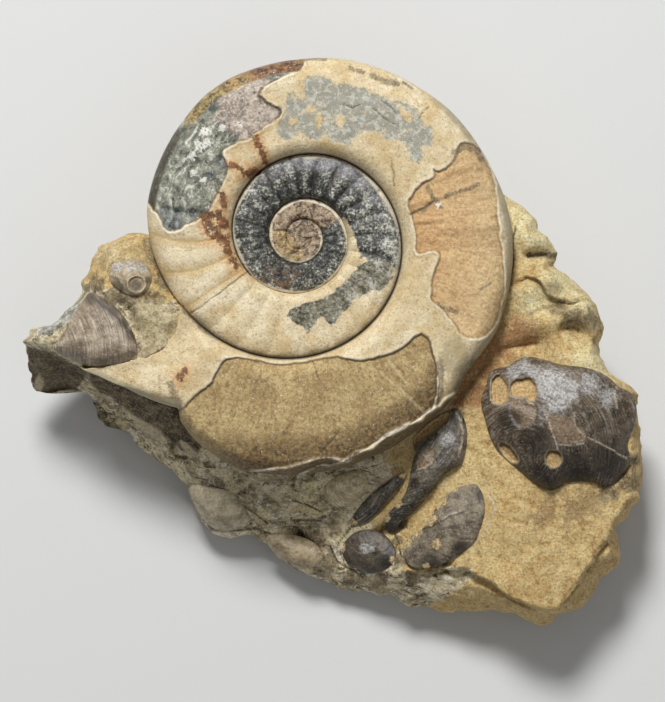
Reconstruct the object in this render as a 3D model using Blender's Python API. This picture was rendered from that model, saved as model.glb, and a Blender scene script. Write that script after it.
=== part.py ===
"""A Leptechioceras ammonite and small fossil shells in a loose block of matrix.

The fossil lies on its back. Its face is drawn in face units: x to the right, y down, and a
height in metres towards the viewer. lay() turns them into world places, +Z up.
"""

import math

import bmesh
import bpy
import numpy as np
from mathutils import Vector, noise

# Driving sizes, in metres unless named otherwise
UNIT = 0.0002  # real size of one face unit
FACE_CENTRE = (332.5, 361.0)  # face point above the origin
FACE_ELEVATION = math.radians(80)  # direction that the face looks in, above the horizon
VIEW_REACH = 0.9  # distance at which the face is seen in its drawn proportions
GAP = 0.0004  # clearance between a piece and the stone around it
MERGE = 0.00001  # points closer than this are one

# The coil: a logarithmic spiral, counted in turns clockwise from the right
COIL_CENTRE = (301.0, 236.5)
COIL_START_RADIUS = 21.68  # face units at turn 0
WHORL_GROWTH = 2.144  # radius grows by this in one turn
RIBS_PER_TURN = 24
COLUMNS_PER_TURN = 4 * RIBS_PER_TURN
FIRST_TURN = -48 / COLUMNS_PER_TURN
LAST_TURN = 326 / COLUMNS_PER_TURN
FREE_RIM_TURN = LAST_TURN - 1
ROWS = 12
RIM_RINGS = 4
RIB_HEIGHT = 0.00032
FURROW_TURN = 0.0014
RIB_FADE_START = 2.5  # turn where the ribs begin to fade
RIB_FADE_END = 2.9
RIB_FULL_WIDTH = 0.0025  # half thickness from which the ribs have their full height
MID_HEIGHT = 0.0260
WIDTH_TURN = 3.2
HALF_WIDTH = 0.0062  # half the whorl's thickness at WIDTH_TURN
FLANK_BULGE = 0.06
INNER_SHOULDER = 0.25  # share of the flank that rises from the seam
OUTER_SHOULDER = 0.28  # share that falls to the outer edge
SEAM_LEVEL = 0.45  # how far up the inner whorl the seam runs
KEEL_START_TURNS = 0.08  # turns in which the seam becomes the bare keel
BACK_DEPTH = 0.0060
RIM_INSET = 48.0  # face units that the back is narrower than the rim
SHELL_LAYER = 0.0005  # thickness of the cream shell over the moulds
NUCLEUS_REACH = 0.006  # the first turns' opening lies within this of the centre
COIL_FACES = 0.36  # share of its faces kept
COIL_ROUGHNESS = 0.6

RIM = [
    (147, 208), (158, 165), (170, 140), (185, 118), (205, 95), (230, 78), (262, 66),
    (300, 59), (345, 59), (385, 70), (420, 88), (450, 110), (475, 140), (490, 165),
    (507, 205), (513, 240), (512, 270), (506, 300), (497, 330), (480, 355), (465, 375),
    (455, 395), (440, 410), (390, 445), (350, 460), (310, 468), (270, 471), (240, 468),
    (215, 455), (195, 440), (180, 420), (178, 408), (155, 401), (127, 388), (99, 376),
]

# Places where the shell is gone and the mould below it shows
UPPER_WINDOW = [
    (150, 203), (165, 230), (190, 222), (211, 206), (223, 154), (260, 131), (282, 114),
    (258, 95), (300, 66), (262, 60), (200, 85), (150, 150),
]
RIGHT_MOULD = [
    (449, 163), (431, 179), (408, 200), (416, 253), (440, 256), (431, 278), (430, 298),
    (461, 336), (487, 336), (502, 304), (502, 253), (489, 159),
]
LOWER_MOULD = [
    (180, 410), (210, 385), (228, 356), (298, 363), (369, 359), (419, 332), (437, 361),
    (433, 408), (383, 435), (343, 458), (284, 466), (217, 458), (180, 437),
]

# The stone's outline: x, y, height of its edge in mm, width of the wall above it
STONE_EDGE = [
    (21, 342, 22, 14), (25, 346, 20, 14), (35, 390, 12, 10), (50, 393, 11, 10),
    (76, 387, 12, 10), (94, 396, 13, 10), (99, 417, 12, 10), (108, 426, 12, 12),
    (130, 432, 12, 12), (137, 444, 11, 12), (149, 457, 11, 12), (171, 471, 11, 14),
    (185, 485, 11, 14), (192, 501, 10, 14), (199, 519, 10, 12), (212, 535, 10, 12),
    (230, 539, 11, 12), (253, 535, 11, 12), (267, 544, 11, 12), (280, 559, 11, 12),
    (296, 569, 11, 12), (310, 575, 12, 14), (340, 589, 12, 18), (395, 597, 13, 24),
    (409, 606, 14, 36), (449, 611, 14, 44), (480, 614, 15, 34), (492, 611, 15, 28),
    (514, 613, 16, 18), (531, 623, 16, 17), (540, 625, 16, 16), (562, 616, 17, 8),
    (580, 613, 16, 16), (592, 597, 16, 18), (606, 576, 16, 18), (619, 561, 17, 16),
    (621, 545, 17, 14), (616, 528, 18, 8), (635, 506, 18, 10), (642, 499, 18, 10),
    (642, 430, 19, 10), (637, 409, 19, 10), (635, 394, 19, 12), (627, 384, 20, 12),
    (610, 373, 20, 12), (601, 355, 20, 12), (600, 343, 20, 10), (604, 335, 20, 10),
    (601, 319, 20, 12), (597, 304, 20, 12), (586, 292, 20, 12), (570, 277, 20, 12),
    (553, 265, 20, 10), (557, 253, 20, 10), (548, 237, 20, 12), (538, 229, 20, 12),
    (535, 218, 19, 12), (522, 206, 18, 12), (503, 195, 17, 12), (470, 168, 15, 12),
    (420, 138, 14, 12), (360, 120, 14, 12), (300, 116, 14, 12), (245, 132, 14, 12),
    (205, 163, 15, 12), (180, 205, 17, 12), (150, 235, 20, 12), (142, 233, 20, 14),
    (127, 234, 20, 16), (99, 247, 20, 16), (93, 258, 20, 16), (90, 272, 21, 14),
    (83, 282, 21, 14), (83, 290, 21, 14), (76, 304, 21, 14), (51, 325, 21, 14),
    (33, 328, 22, 14),
]
STONE_CENTRE = (330, 320)
STONE_SEGMENTS = 180
STONE_TOP_RINGS = 44
STONE_LOW_RINGS = 12
STONE_FACES = 0.128  # share of its faces kept
WALL_CURVE = 0.6  # below 1, the wall round the stone's face is steep at its foot

# Heights of the stone's face at chosen spots, in mm
STONE_SPOTS = [
    (28, 340, 25), (40, 345, 27), (60, 335, 27.5), (60, 362, 24), (45, 380, 15), (76, 378, 17),
    (90, 372, 26), (100, 340, 29), (100, 364, 29.5), (84, 300, 28), (98, 262, 26),
    (105, 280, 28.5), (136, 284, 29.5), (120, 255, 28), (142, 242, 24.5), (168, 262, 26),
    (130, 330, 29.5), (138, 360, 30), (160, 325, 30.5), (176, 300, 28),
    (110, 385, 22), (94, 386, 19), (150, 404, 24), (180, 425, 24), (128, 415, 16.5),
    (150, 432, 17), (180, 452, 18), (190, 475, 16.5), (200, 500, 15), (235, 500, 17),
    (250, 480, 19), (300, 480, 20), (275, 512, 17.5), (240, 528, 14.5), (299, 534, 14.5),
    (300, 558, 15), (340, 475, 21), (345, 500, 19.5), (330, 545, 16.5), (340, 575, 16),
    (380, 460, 22), (385, 530, 19), (380, 580, 19), (430, 430, 23), (425, 470, 23.5),
    (400, 570, 21.5), (430, 585, 23), (450, 570, 25), (500, 560, 27.5), (470, 500, 25),
    (466, 440, 24.5), (520, 520, 28), (511, 590, 28.5), (560, 600, 28.5), (560, 540, 28),
    (600, 500, 27.5), (620, 490, 27), (634, 460, 25.5), (470, 380, 24.5), (505, 352, 24),
    (540, 344, 25), (512, 250, 24.5), (512, 300, 24.5), (530, 235, 26.5), (545, 257, 24.5),
    (548, 280, 27.5), (560, 297, 25), (575, 312, 27), (575, 332, 24.5), (545, 325, 27.5),
    (590, 352, 27), (560, 350, 27), (620, 395, 26), (560, 420, 27), (520, 215, 24),
    (400, 300, 22), (300, 236, 20), (300, 400, 20), (220, 330, 22), (400, 180, 20),
]
LUMP_HEIGHT = 0.0004
LUMP_SIZE = 28.0  # face units
STONE_SURFACE_ROUGHNESS = 0.9

# Ledges of the stone: a line, the drop to the right of its direction in mm, and its reach
LEDGES = [
    ([(513, 281), (527, 276), (541, 281), (547, 293), (556, 299), (573, 302), (584, 297)], 2.2, 14),
    ([(562, 613), (566, 597), (578, 582), (594, 557), (604, 544), (618, 525), (625, 511)], 2.6, 16),
    ([(404, 573), (432, 569), (466, 568), (490, 582), (511, 597), (535, 607), (562, 613)], 3.4, 26),
]

# Grooves of the stone: a line, its depth in mm and its width
GROOVES = [
    ([(529, 255), (541, 254), (556, 256)], 2.0, 5.0),
    ([(564, 329), (573, 327), (583, 334), (588, 342)], 1.5, 5.0),
    ([(499, 352), (515, 346), (535, 342)], 1.0, 5.0),
    ([(30, 352), (48, 356), (66, 365), (80, 372)], 2.4, 6.0),
]

# Flat spot under the stone
BASE_CENTRE = (0.004, 0.002)
BASE_SHARE = 0.66  # size of the flat spot against the outline
SIDE_SHARE = 0.6  # share of the low rings that make the sides, above the flat spot
SIDE_TAPER = 1.4
SIDE_DROP = 1.2

# Shells: outline, centre, dome and depth in mm, colour, roughness
SHELLS = {
    "large_bivalve": (
        [(490, 371), (509, 366), (519, 358), (544, 359), (563, 365), (597, 370), (617, 386),
         (633, 394), (636, 423), (629, 455), (624, 472), (607, 486), (594, 482), (566, 482),
         (551, 491), (531, 481), (507, 460), (489, 435), (481, 406), (486, 386)],
        (558, 424), 4.6, 1.2, (0.035, 0.024, 0.018), 0.25),
    "long_bivalve": (
        [(457, 407), (465, 420), (467, 440), (462, 464), (448, 472), (435, 487), (420, 508),
         (403, 521), (393, 537), (382, 520), (407, 497), (413, 469), (426, 447), (448, 424)],
        (433, 468), 2.6, 1.0, (0.03, 0.028, 0.027), 0.3),
    "shell_strip": (
        [(403, 470), (393, 489), (376, 507), (367, 519), (357, 524), (349, 521), (362, 507),
         (377, 493), (391, 481)],
        (374, 501), 1.4, 0.8, (0.035, 0.03, 0.028), 0.35),
    "round_bivalve": (
        [(342, 546), (352, 533), (367, 528), (384, 533), (394, 544), (396, 556), (388, 568),
         (370, 575), (352, 568), (343, 558)],
        (368, 551), 2.4, 1.0, (0.04, 0.036, 0.034), 0.4),
    "grey_bivalve": (
        [(464, 485), (477, 484), (484, 497), (485, 511), (480, 528), (474, 542), (462, 553),
         (447, 562), (431, 569), (411, 569), (403, 557), (400, 545), (411, 535), (427, 526),
         (433, 511), (443, 500), (455, 488)],
        (448, 530), 1.8, 1.0, (0.16, 0.13, 0.1), 0.5),
    "ribbed_shell": (
        [(90, 290), (110, 310), (129, 327), (137, 341), (138, 354), (133, 357), (118, 364),
         (98, 364), (80, 361), (57, 352), (66, 334), (76, 317), (83, 303)],
        (100, 334), 2.6, 1.2, (0.17, 0.14, 0.11), 0.5),
    "ringed_shell": (
        [(112, 262), (130, 256), (148, 262), (156, 276), (150, 290), (134, 296), (116, 290),
         (106, 276)],
        (132, 277), 1.8, 0.9, (0.45, 0.38, 0.28), 0.5),
    "pale_bivalve": (
        [(190, 490), (212, 491), (231, 492), (246, 508), (252, 521), (238, 530), (214, 531),
         (203, 519), (194, 500)],
        (220, 510), 1.8, 0.8, (0.3, 0.26, 0.2), 0.45),
    "bulging_shell": (
        [(266, 540), (284, 534), (304, 534), (320, 542), (326, 556), (314, 568), (298, 566),
         (282, 557), (270, 550)],
        (297, 551), 1.6, 0.8, (0.3, 0.26, 0.2), 0.45),
    "swirled_shell": (
        [(326, 486), (340, 474), (358, 471), (369, 478), (366, 492), (352, 504), (336, 507),
         (325, 499)],
        (347, 489), 1.4, 0.8, (0.4, 0.34, 0.25), 0.5),
}
SHELL_SEGMENTS = 20
SHELL_TOP_RINGS = 5
SHELL_LOW_RINGS = 2
SHELL_EDGE_LIFT = 0.0003
DOME_CURVE = 0.75
BOWL_CURVE = 0.5

PALE_SHELL = (0.62, 0.5, 0.34)
OCHRE = (0.46, 0.33, 0.16)


def lay(x, y, height):
    """World place of a face point."""
    scale = UNIT * (1 - height / VIEW_REACH)
    right = (x - FACE_CENTRE[0]) * scale
    up = (FACE_CENTRE[1] - y) * scale
    rise, run = math.sin(FACE_ELEVATION), math.cos(FACE_ELEVATION)
    return Vector((right, up * rise - height * run, up * run + height * rise))


def thin_plate(spots):
    """Smooth surface through spots of (x, y, value)."""
    spots = np.array(spots, float)
    places, values = spots[:, :2] / 100, spots[:, 2]

    def bend(squares):
        return squares * np.log(np.maximum(squares, 1e-12))

    count = len(spots)
    square = ((places[:, None] - places[None]) ** 2).sum(2)
    flat = np.hstack([np.ones((count, 1)), places])
    system = np.zeros((count + 3, count + 3))
    system[:count, :count] = bend(square)
    system[:count, count:] = flat
    system[count:, :count] = flat.T
    weights = np.linalg.solve(system, np.append(values, [0, 0, 0]))

    def surface(x, y):
        here = np.array([x, y]) / 100
        near = bend(((places - here) ** 2).sum(1))
        return near @ weights[:count] + weights[count] + here @ weights[count + 1:]

    return surface


def evenly(outline, count):
    """Closed outline read at even steps along its length."""
    rows = np.array(list(outline) + [outline[0]], float)
    lengths = np.hypot(*np.diff(rows[:, :2], axis=0).T)
    along = np.append(0, np.cumsum(lengths))
    steps = np.linspace(0, along[-1], count, endpoint=False)
    return np.array([np.interp(steps, along, column) for column in rows.T]).T


def inside(x, y, outline):
    """True where a face point lies inside an outline."""
    found = False
    for (x1, y1), (x2, y2) in zip(outline, outline[1:] + outline[:1]):
        if (y1 > y) != (y2 > y) and x < x1 + (y - y1) * (x2 - x1) / (y2 - y1):
            found = not found
    return found


def rounded(share):
    """Quarter-round rise from 0 to 1."""
    left = 1 - min(max(share, 0), 1)
    return math.sqrt(1 - left * left)


def make_material(name, colour, roughness):
    material = bpy.data.materials.new(name)
    material.use_nodes = True
    shader = material.node_tree.nodes["Principled BSDF"]
    shader.inputs["Base Color"].default_value = (*colour, 1)
    shader.inputs["Roughness"].default_value = roughness
    shader.inputs["Metallic"].default_value = 0
    return material


def finish_object(name, bm, collection, material):
    bmesh.ops.recalc_face_normals(bm, faces=bm.faces[:])
    mesh = bpy.data.meshes.new(name)
    bm.to_mesh(mesh)
    bm.free()
    mesh.materials.append(material)
    thing = bpy.data.objects.new(name, mesh)
    collection.objects.link(thing)
    return thing


def pebble(segments, top_rings, low_rings, place):
    """Closed round body: a sphere whose rings and segments are moved by place(segment, ring)."""
    rings = top_rings + low_rings
    bm = bmesh.new()
    bmesh.ops.create_uvsphere(bm, u_segments=segments, v_segments=rings, radius=1)
    for vertex in bm.verts:
        polar = math.acos(max(-1.0, min(1.0, vertex.co.z)))
        angle = math.atan2(-vertex.co.y, vertex.co.x)
        segment = round(angle / math.tau * segments) % segments
        vertex.co = place(segment, round(polar / math.pi * rings))
    return bm


def clockwise(outline, centre):
    """Outline turned so that it starts at the right of its centre and runs clockwise."""
    angles = np.arctan2(outline[:, 1] - centre[1], outline[:, 0] - centre[0])
    steps = np.diff(np.unwrap(angles))
    if steps.sum() < 0:
        outline, angles = outline[::-1], angles[::-1]
    return np.roll(outline, -int(np.argmin(np.abs(angles))), axis=0)


stone_face = thin_plate(STONE_SPOTS)


def nearest_on(x, y, line):
    """Distance to a line, which side the point is on, and the share along the line."""
    best = (math.inf, 1, 0)
    for number, ((x1, y1), (x2, y2)) in enumerate(zip(line, line[1:])):
        dx, dy = x2 - x1, y2 - y1
        along = min(max(((x - x1) * dx + (y - y1) * dy) / (dx * dx + dy * dy), 0), 1)
        gap = math.hypot(x - x1 - along * dx, y - y1 - along * dy)
        side = math.copysign(1, dx * (y - y1) - dy * (x - x1))
        best = min(best, (gap, side, (number + along) / (len(line) - 1)))
    return best


def ledge_drop(x, y, line, drop, reach):
    gap, side, share = nearest_on(x, y, line)
    if side < 0:
        return 0
    return drop / 1000 * math.sqrt(math.sin(share * math.pi)) * math.exp(-gap / reach)


def groove_depth(x, y, line, depth, width):
    gap = nearest_on(x, y, line)[0]
    return depth / 1000 * math.exp(-((gap / width) ** 2))


def stone_base(x, y):
    """Height of the stone's face before its ledges and grooves."""
    lump = noise.noise(Vector((x / LUMP_SIZE, y / LUMP_SIZE, 0)))
    return stone_face(x, y) / 1000 + LUMP_HEIGHT * lump


def stone_height(x, y):
    """Height of the stone's face away from its edge."""
    height = stone_base(x, y)
    height -= sum(ledge_drop(x, y, *ledge) for ledge in LEDGES)
    return height - sum(groove_depth(x, y, *groove) for groove in GROOVES)


def make_stone(collection):
    edge = clockwise(evenly(STONE_EDGE, STONE_SEGMENTS), STONE_CENTRE)

    def place(segment, ring):
        x, y, low, wall = edge[segment]
        foot = lay(x, y, low / 1000)
        if ring > STONE_TOP_RINGS:
            return under(foot, (ring - STONE_TOP_RINGS) / STONE_LOW_RINGS)
        share = ring / STONE_TOP_RINGS
        inner_x = STONE_CENTRE[0] + (x - STONE_CENTRE[0]) * share
        inner_y = STONE_CENTRE[1] + (y - STONE_CENTRE[1]) * share
        from_edge = math.hypot(x - inner_x, y - inner_y)
        rise = min(from_edge / wall, 1) ** WALL_CURVE
        top = stone_height(inner_x, inner_y)
        return lay(inner_x, inner_y, low / 1000 + (top - low / 1000) * rise)

    def under(foot, share):
        size = 1 - (1 - BASE_SHARE) * min(share / SIDE_SHARE, 1) ** SIDE_TAPER
        if share > SIDE_SHARE:
            size = BASE_SHARE * (1 - share) / (1 - SIDE_SHARE)
        drop = max(1 - share / SIDE_SHARE, 0) ** SIDE_DROP
        x = BASE_CENTRE[0] + (foot.x - BASE_CENTRE[0]) * size
        y = BASE_CENTRE[1] + (foot.y - BASE_CENTRE[1]) * size
        return Vector((x, y, foot.z * drop))

    bm = pebble(STONE_SEGMENTS, STONE_TOP_RINGS, STONE_LOW_RINGS, place)
    material = make_material("matrix", OCHRE, STONE_SURFACE_ROUGHNESS)
    stone = finish_object("matrix", bm, collection, material)
    thin = stone.modifiers.new("facets", "DECIMATE")
    thin.ratio = STONE_FACES
    return stone


def spiral_radius(turn):
    return COIL_START_RADIUS * WHORL_GROWTH**turn


def rim_shares():
    """How far the worn outer rim stands out against the spiral, by turn."""
    rows = [(FREE_RIM_TURN, 1.0)]
    for x, y in RIM:
        dx, dy = x - COIL_CENTRE[0], y - COIL_CENTRE[1]
        turn = math.atan2(dy, dx) / math.tau % 1 + 2
        if turn < rows[-1][0]:
            turn += 1
        rows.append((turn, math.hypot(dx, dy) / spiral_radius(turn)))
    return np.array(rows)


rim_share_rows = rim_shares()


def outer_radius(turn):
    share = np.interp(turn, *rim_share_rows.T) if turn > FREE_RIM_TURN else 1.0
    return spiral_radius(turn) * share


def half_width(turn):
    return HALF_WIDTH * WHORL_GROWTH ** (turn - WIDTH_TURN)


def seam_height(turn):
    """Height of the whorl's outer edge: a seam under the next whorl, then the bare keel."""
    bare = min(max((turn - FREE_RIM_TURN) / KEEL_START_TURNS, 0), 1)
    return MID_HEIGHT + SEAM_LEVEL * half_width(turn) * (1 - bare)


def flank_height(turn, across):
    low, high = seam_height(turn - 1), seam_height(turn)
    base = low + (high - low) * across
    flank = MID_HEIGHT + half_width(turn) * (1 + FLANK_BULGE * math.sin(math.pi * across))
    hump = rounded(across / INNER_SHOULDER) * rounded((1 - across) / OUTER_SHOULDER)
    return base + (flank - base) * hump


def rib_height(turn, across):
    fade = (RIB_FADE_END - turn) / (RIB_FADE_END - RIB_FADE_START)
    fade = min(max(fade, 0), 1) * min(half_width(turn) / RIB_FULL_WIDTH, 1)
    wave = -math.cos((turn - FURROW_TURN) * RIBS_PER_TURN * math.tau)
    return RIB_HEIGHT * fade * math.sin(math.pi * across) * wave


def whorl_place(turn, across):
    """Face point on the coil, across running from the inner seam (0) to the outer edge (1)."""
    radius = spiral_radius(turn - 1)
    radius += (outer_radius(turn) - radius) * across
    angle = turn * math.tau
    x = COIL_CENTRE[0] + radius * math.cos(angle)
    y = COIL_CENTRE[1] + radius * math.sin(angle)
    height = flank_height(turn, across) + rib_height(turn, across)
    bare = any(inside(x, y, mould) for mould in (UPPER_WINDOW, RIGHT_MOULD, LOWER_MOULD))
    if bare and turn > FREE_RIM_TURN and 0 < across < 1:
        height -= SHELL_LAYER
    return x, y, height


def make_ammonite(collection):
    bm = bmesh.new()
    columns = round((LAST_TURN - FIRST_TURN) * COLUMNS_PER_TURN)
    bmesh.ops.create_grid(bm, x_segments=columns, y_segments=ROWS, size=1)
    for vertex in bm.verts:
        turn = FIRST_TURN + (vertex.co.x + 1) / 2 * (LAST_TURN - FIRST_TURN)
        vertex.co = lay(*whorl_place(turn, round((vertex.co.y + 1) / 2 * ROWS) / ROWS))
    bmesh.ops.remove_doubles(bm, verts=bm.verts[:], dist=MERGE)
    close_nucleus(bm)
    roll_rim(bm)
    material = make_material("ammonite", PALE_SHELL, COIL_ROUGHNESS)
    coil = finish_object("ammonite", bm, collection, material)
    thin = coil.modifiers.new("facets", "DECIMATE")
    thin.ratio = COIL_FACES
    return coil


def close_nucleus(bm):
    centre = lay(*COIL_CENTRE, MID_HEIGHT)
    hole = [edge for edge in bm.edges if edge.is_boundary]
    hole = [edge for edge in hole if (edge.verts[0].co - centre).length < NUCLEUS_REACH]
    bmesh.ops.holes_fill(bm, edges=hole, sides=0)


def roll_rim(bm):
    """The outer edge goes round the keel to the flat back."""
    centre = lay(*COIL_CENTRE, MID_HEIGHT)
    axis = (lay(*COIL_CENTRE, MID_HEIGHT) - lay(*COIL_CENTRE, 0)).normalized()
    loop = [edge for edge in bm.edges if edge.is_boundary]
    verts = {vertex for edge in loop for vertex in edge.verts}
    source = {vertex: vertex.co.copy() for vertex in verts}
    for ring in range(1, RIM_RINGS + 1):
        made = bmesh.ops.extrude_edge_only(bm, edges=loop)["geom"]
        loop = [item for item in made if isinstance(item, bmesh.types.BMEdge) and item.is_boundary]
        fresh = [item for item in made if isinstance(item, bmesh.types.BMVert)]
        turned = ring / RIM_RINGS * math.pi / 2
        following = {}
        for vertex in fresh:
            neighbours = (edge.other_vert(vertex) for edge in vertex.link_edges)
            start = next(source[other] for other in neighbours if other in source)
            following[vertex] = start
            vertex.co = rolled(start, centre, axis, turned)
        source = following
    bmesh.ops.holes_fill(bm, edges=loop, sides=0)


def rolled(start, centre, axis, turned):
    outward = start - centre
    height = outward.dot(axis)
    outward -= axis * height
    inset = RIM_INSET * UNIT * (1 - math.cos(turned))
    height -= (height + BACK_DEPTH) * math.sin(turned)
    return centre + outward.normalized() * (outward.length - inset) + axis * height


def make_shell(name, outline, centre, dome, depth, colour, roughness, collection):
    edge = clockwise(evenly(outline, SHELL_SEGMENTS), centre)

    def place(segment, ring):
        x, y = edge[segment]
        if ring <= SHELL_TOP_RINGS:
            share = math.sin(ring / SHELL_TOP_RINGS * math.pi / 2)
            bulge = dome / 1000 * (1 - share**2) ** DOME_CURVE
        else:
            share = 1 - (ring - SHELL_TOP_RINGS) / SHELL_LOW_RINGS
            bulge = -depth / 1000 * (1 - share**2) ** BOWL_CURVE
        inner_x = centre[0] + (x - centre[0]) * share
        inner_y = centre[1] + (y - centre[1]) * share
        rest = stone_base(inner_x, inner_y) + SHELL_EDGE_LIFT
        return lay(inner_x, inner_y, rest + bulge)

    bm = pebble(SHELL_SEGMENTS, SHELL_TOP_RINGS, SHELL_LOW_RINGS, place)
    return finish_object(name, bm, collection, make_material(name, colour, roughness))


def cut_socket(stone, piece, cutters):
    """Room for a piece in the stone, with the gap all round."""
    room = piece.copy()
    room.name = piece.name + ".room"
    cutters.objects.link(room)
    room.hide_render = True
    room.display_type = "WIRE"
    wider = room.modifiers.new("gap", "DISPLACE")
    wider.mid_level = 0
    wider.strength = GAP
    cut = stone.modifiers.new(piece.name, "BOOLEAN")
    cut.operation = "DIFFERENCE"
    cut.object = room
    cut.solver = "MANIFOLD"


def new_collection(name):
    collection = bpy.data.collections.new(name)
    bpy.context.scene.collection.children.link(collection)
    return collection


def main():
    for thing in list(bpy.data.objects):
        bpy.data.objects.remove(thing)
    fossil = new_collection("leptechioceras_ammonite")
    cutters = new_collection("cutters")
    stone = make_stone(fossil)
    pieces = [make_ammonite(fossil)]
    for name, shape in SHELLS.items():
        pieces.append(make_shell(name, *shape, fossil))
    for piece in pieces:
        cut_socket(stone, piece, cutters)


main()
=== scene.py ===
# %% [markdown]
# An ammonite in its stone
#
# The real object is a fossil: a coiled shell, a few smaller shells, and the block of stone that
# holds them. The packed model gives each piece its place and size. This lesson gives each piece
# its fine surface, in the same places, and then lights the fossil as it lies on a pale table.

import math

import bmesh
import bpy
import numpy as np
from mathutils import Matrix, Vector


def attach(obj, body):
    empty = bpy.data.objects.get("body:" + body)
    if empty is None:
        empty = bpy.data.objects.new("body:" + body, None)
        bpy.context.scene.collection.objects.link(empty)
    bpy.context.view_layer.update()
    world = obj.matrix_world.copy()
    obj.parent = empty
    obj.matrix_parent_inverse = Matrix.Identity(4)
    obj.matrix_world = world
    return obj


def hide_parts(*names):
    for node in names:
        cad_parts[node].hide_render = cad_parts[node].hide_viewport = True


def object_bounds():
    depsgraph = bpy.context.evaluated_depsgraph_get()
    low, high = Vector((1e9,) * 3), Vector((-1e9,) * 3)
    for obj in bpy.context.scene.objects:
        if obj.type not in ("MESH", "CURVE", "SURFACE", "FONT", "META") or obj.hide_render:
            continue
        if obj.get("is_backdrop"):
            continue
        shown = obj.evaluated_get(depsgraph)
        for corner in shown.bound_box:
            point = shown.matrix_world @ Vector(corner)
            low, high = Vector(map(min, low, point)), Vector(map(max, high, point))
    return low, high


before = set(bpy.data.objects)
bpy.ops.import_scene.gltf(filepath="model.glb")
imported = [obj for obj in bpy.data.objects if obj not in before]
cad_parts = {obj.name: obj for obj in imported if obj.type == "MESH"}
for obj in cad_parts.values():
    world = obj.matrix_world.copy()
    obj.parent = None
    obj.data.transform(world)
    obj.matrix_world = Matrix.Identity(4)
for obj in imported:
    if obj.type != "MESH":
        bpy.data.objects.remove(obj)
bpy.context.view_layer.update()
print("packed pieces:", sorted(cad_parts))

# %% [markdown]
# The fossil's face
#
# The face of the fossil looks almost straight up, tipped ten degrees towards the viewer. Every
# shape below is drawn on that face: x to the right, y down, in steps of 0.2 mm, and a height in
# metres towards the viewer. One function turns face places into world places, so an outline that
# is followed on the face sits right from every side.

# %% face places to world places
UNIT = 0.0002
FACE_CENTRE = (332.5, 361.0)
FACE_ELEVATION = math.radians(80)
VIEW_REACH = 0.9
RISE, RUN = math.sin(FACE_ELEVATION), math.cos(FACE_ELEVATION)


def lay(x, y, height):
    """World places of face places, as an array with three columns."""
    scale = UNIT * (1 - height / VIEW_REACH)
    right = (x - FACE_CENTRE[0]) * scale
    up = (FACE_CENTRE[1] - y) * scale
    return np.stack([right, up * RISE - height * RUN, up * RUN + height * RISE], axis=-1)


print("one step on the face, mm:", UNIT * 1000)

# %% [markdown]
# Wobble
#
# Worn edges and rough stone need random but repeatable wobble. Blender's noise reads one point at a
# time. A small table of random numbers, read smoothly between its entries, gives the same look for
# thousands of points at once, so that is used here.

# %% soft steps and wobble
def soft(share):
    """Smooth step from 0 to 1."""
    share = np.clip(share, 0, 1)
    return share * share * (3 - 2 * share)


def rounded(share):
    """Quarter-round rise from 0 to 1."""
    left = 1 - np.clip(share, 0, 1)
    return np.sqrt(1 - left * left)


def wobble(x, y, size, seed):
    """Smooth random values from -1 to 1, with bumps of the given size."""
    table = np.random.default_rng(seed).random((64, 64)) * 2 - 1
    column, row = x / size + 1000, y / size + 1000
    left, top = np.floor(column).astype(int), np.floor(row).astype(int)
    across, down = soft(column - left), soft(row - top)
    upper = table[left % 64, top % 64] * (1 - across) + table[(left + 1) % 64, top % 64] * across
    lower = table[left % 64, (top + 1) % 64] * (1 - across)
    lower = lower + table[(left + 1) % 64, (top + 1) % 64] * across
    return upper * (1 - down) + lower * down


def rough(x, y, size, seed, layers=4):
    """Several sizes of wobble added up."""
    total = 0
    for layer in range(layers):
        turned = x * 0.8 + y * 0.6, y * 0.8 - x * 0.6
        total = total + wobble(*turned, size / 2**layer, seed + layer) / 1.8**layer
        x, y = turned
    return total / 1.8


print("wobble at three places:", np.round(wobble(np.array([1.0, 4.0, 9.0]), 2.0, 6.0, 1), 2))

# %% [markdown]
# Lines and outlines
#
# Patches, cracks and stains are drawn as a few points each. Two questions then colour and
# shape the mesh: how far is a point from a line, and how deep does it lie inside an outline. A mask
# painted on an image would do it too, but would have to be redrawn at every change of size.

# %% lines and outlines
def cut_corners(line, closed=True, rounds=1):
    """A line whose corners are cut off, so that it bends as a worn edge does."""
    for _ in range(rounds):
        ends = zip(line, line[1:] + line[:1]) if closed else zip(line, line[1:])
        cut = [] if closed else [line[0]]
        for (x1, y1), (x2, y2) in ends:
            cut.append((x1 * 0.75 + x2 * 0.25, y1 * 0.75 + y2 * 0.25))
            cut.append((x1 * 0.25 + x2 * 0.75, y1 * 0.25 + y2 * 0.75))
        line = cut if closed else cut + [line[-1]]
    return line


def close_to(x, y, line, reach=24):
    """Which points lie in the box round a line, so that only those are measured."""
    across, down = zip(*line)
    inside = (x > min(across) - reach) & (x < max(across) + reach)
    return inside & (y > min(down) - reach) & (y < max(down) + reach)


def beside(x, y, line):
    """Distance from an open line, negative on its left side, and the share along it."""
    nearest, side, share = (np.full(np.shape(x), fill) for fill in (99.0, 1.0, 0.0))
    for number, ((x1, y1), (x2, y2)) in enumerate(zip(line, line[1:])):
        dx, dy = x2 - x1, y2 - y1
        along = np.clip(((x - x1) * dx + (y - y1) * dy) / (dx * dx + dy * dy), 0, 1)
        gap = np.hypot(x - x1 - along * dx, y - y1 - along * dy)
        closer = gap < nearest
        side = np.where(closer, np.sign(dx * (y - y1) - dy * (x - x1)), side)
        share = np.where(closer, (number + along) / (len(line) - 1), share)
        nearest = np.minimum(nearest, gap)
    return nearest * side, share


def distance_to(x, y, line):
    """Distance from an open line, 99 where it is far."""
    gap = np.full(np.shape(x), 99.0)
    here = close_to(x, y, line)
    gap[here] = np.abs(beside(x[here], y[here], line)[0])
    return gap


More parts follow.
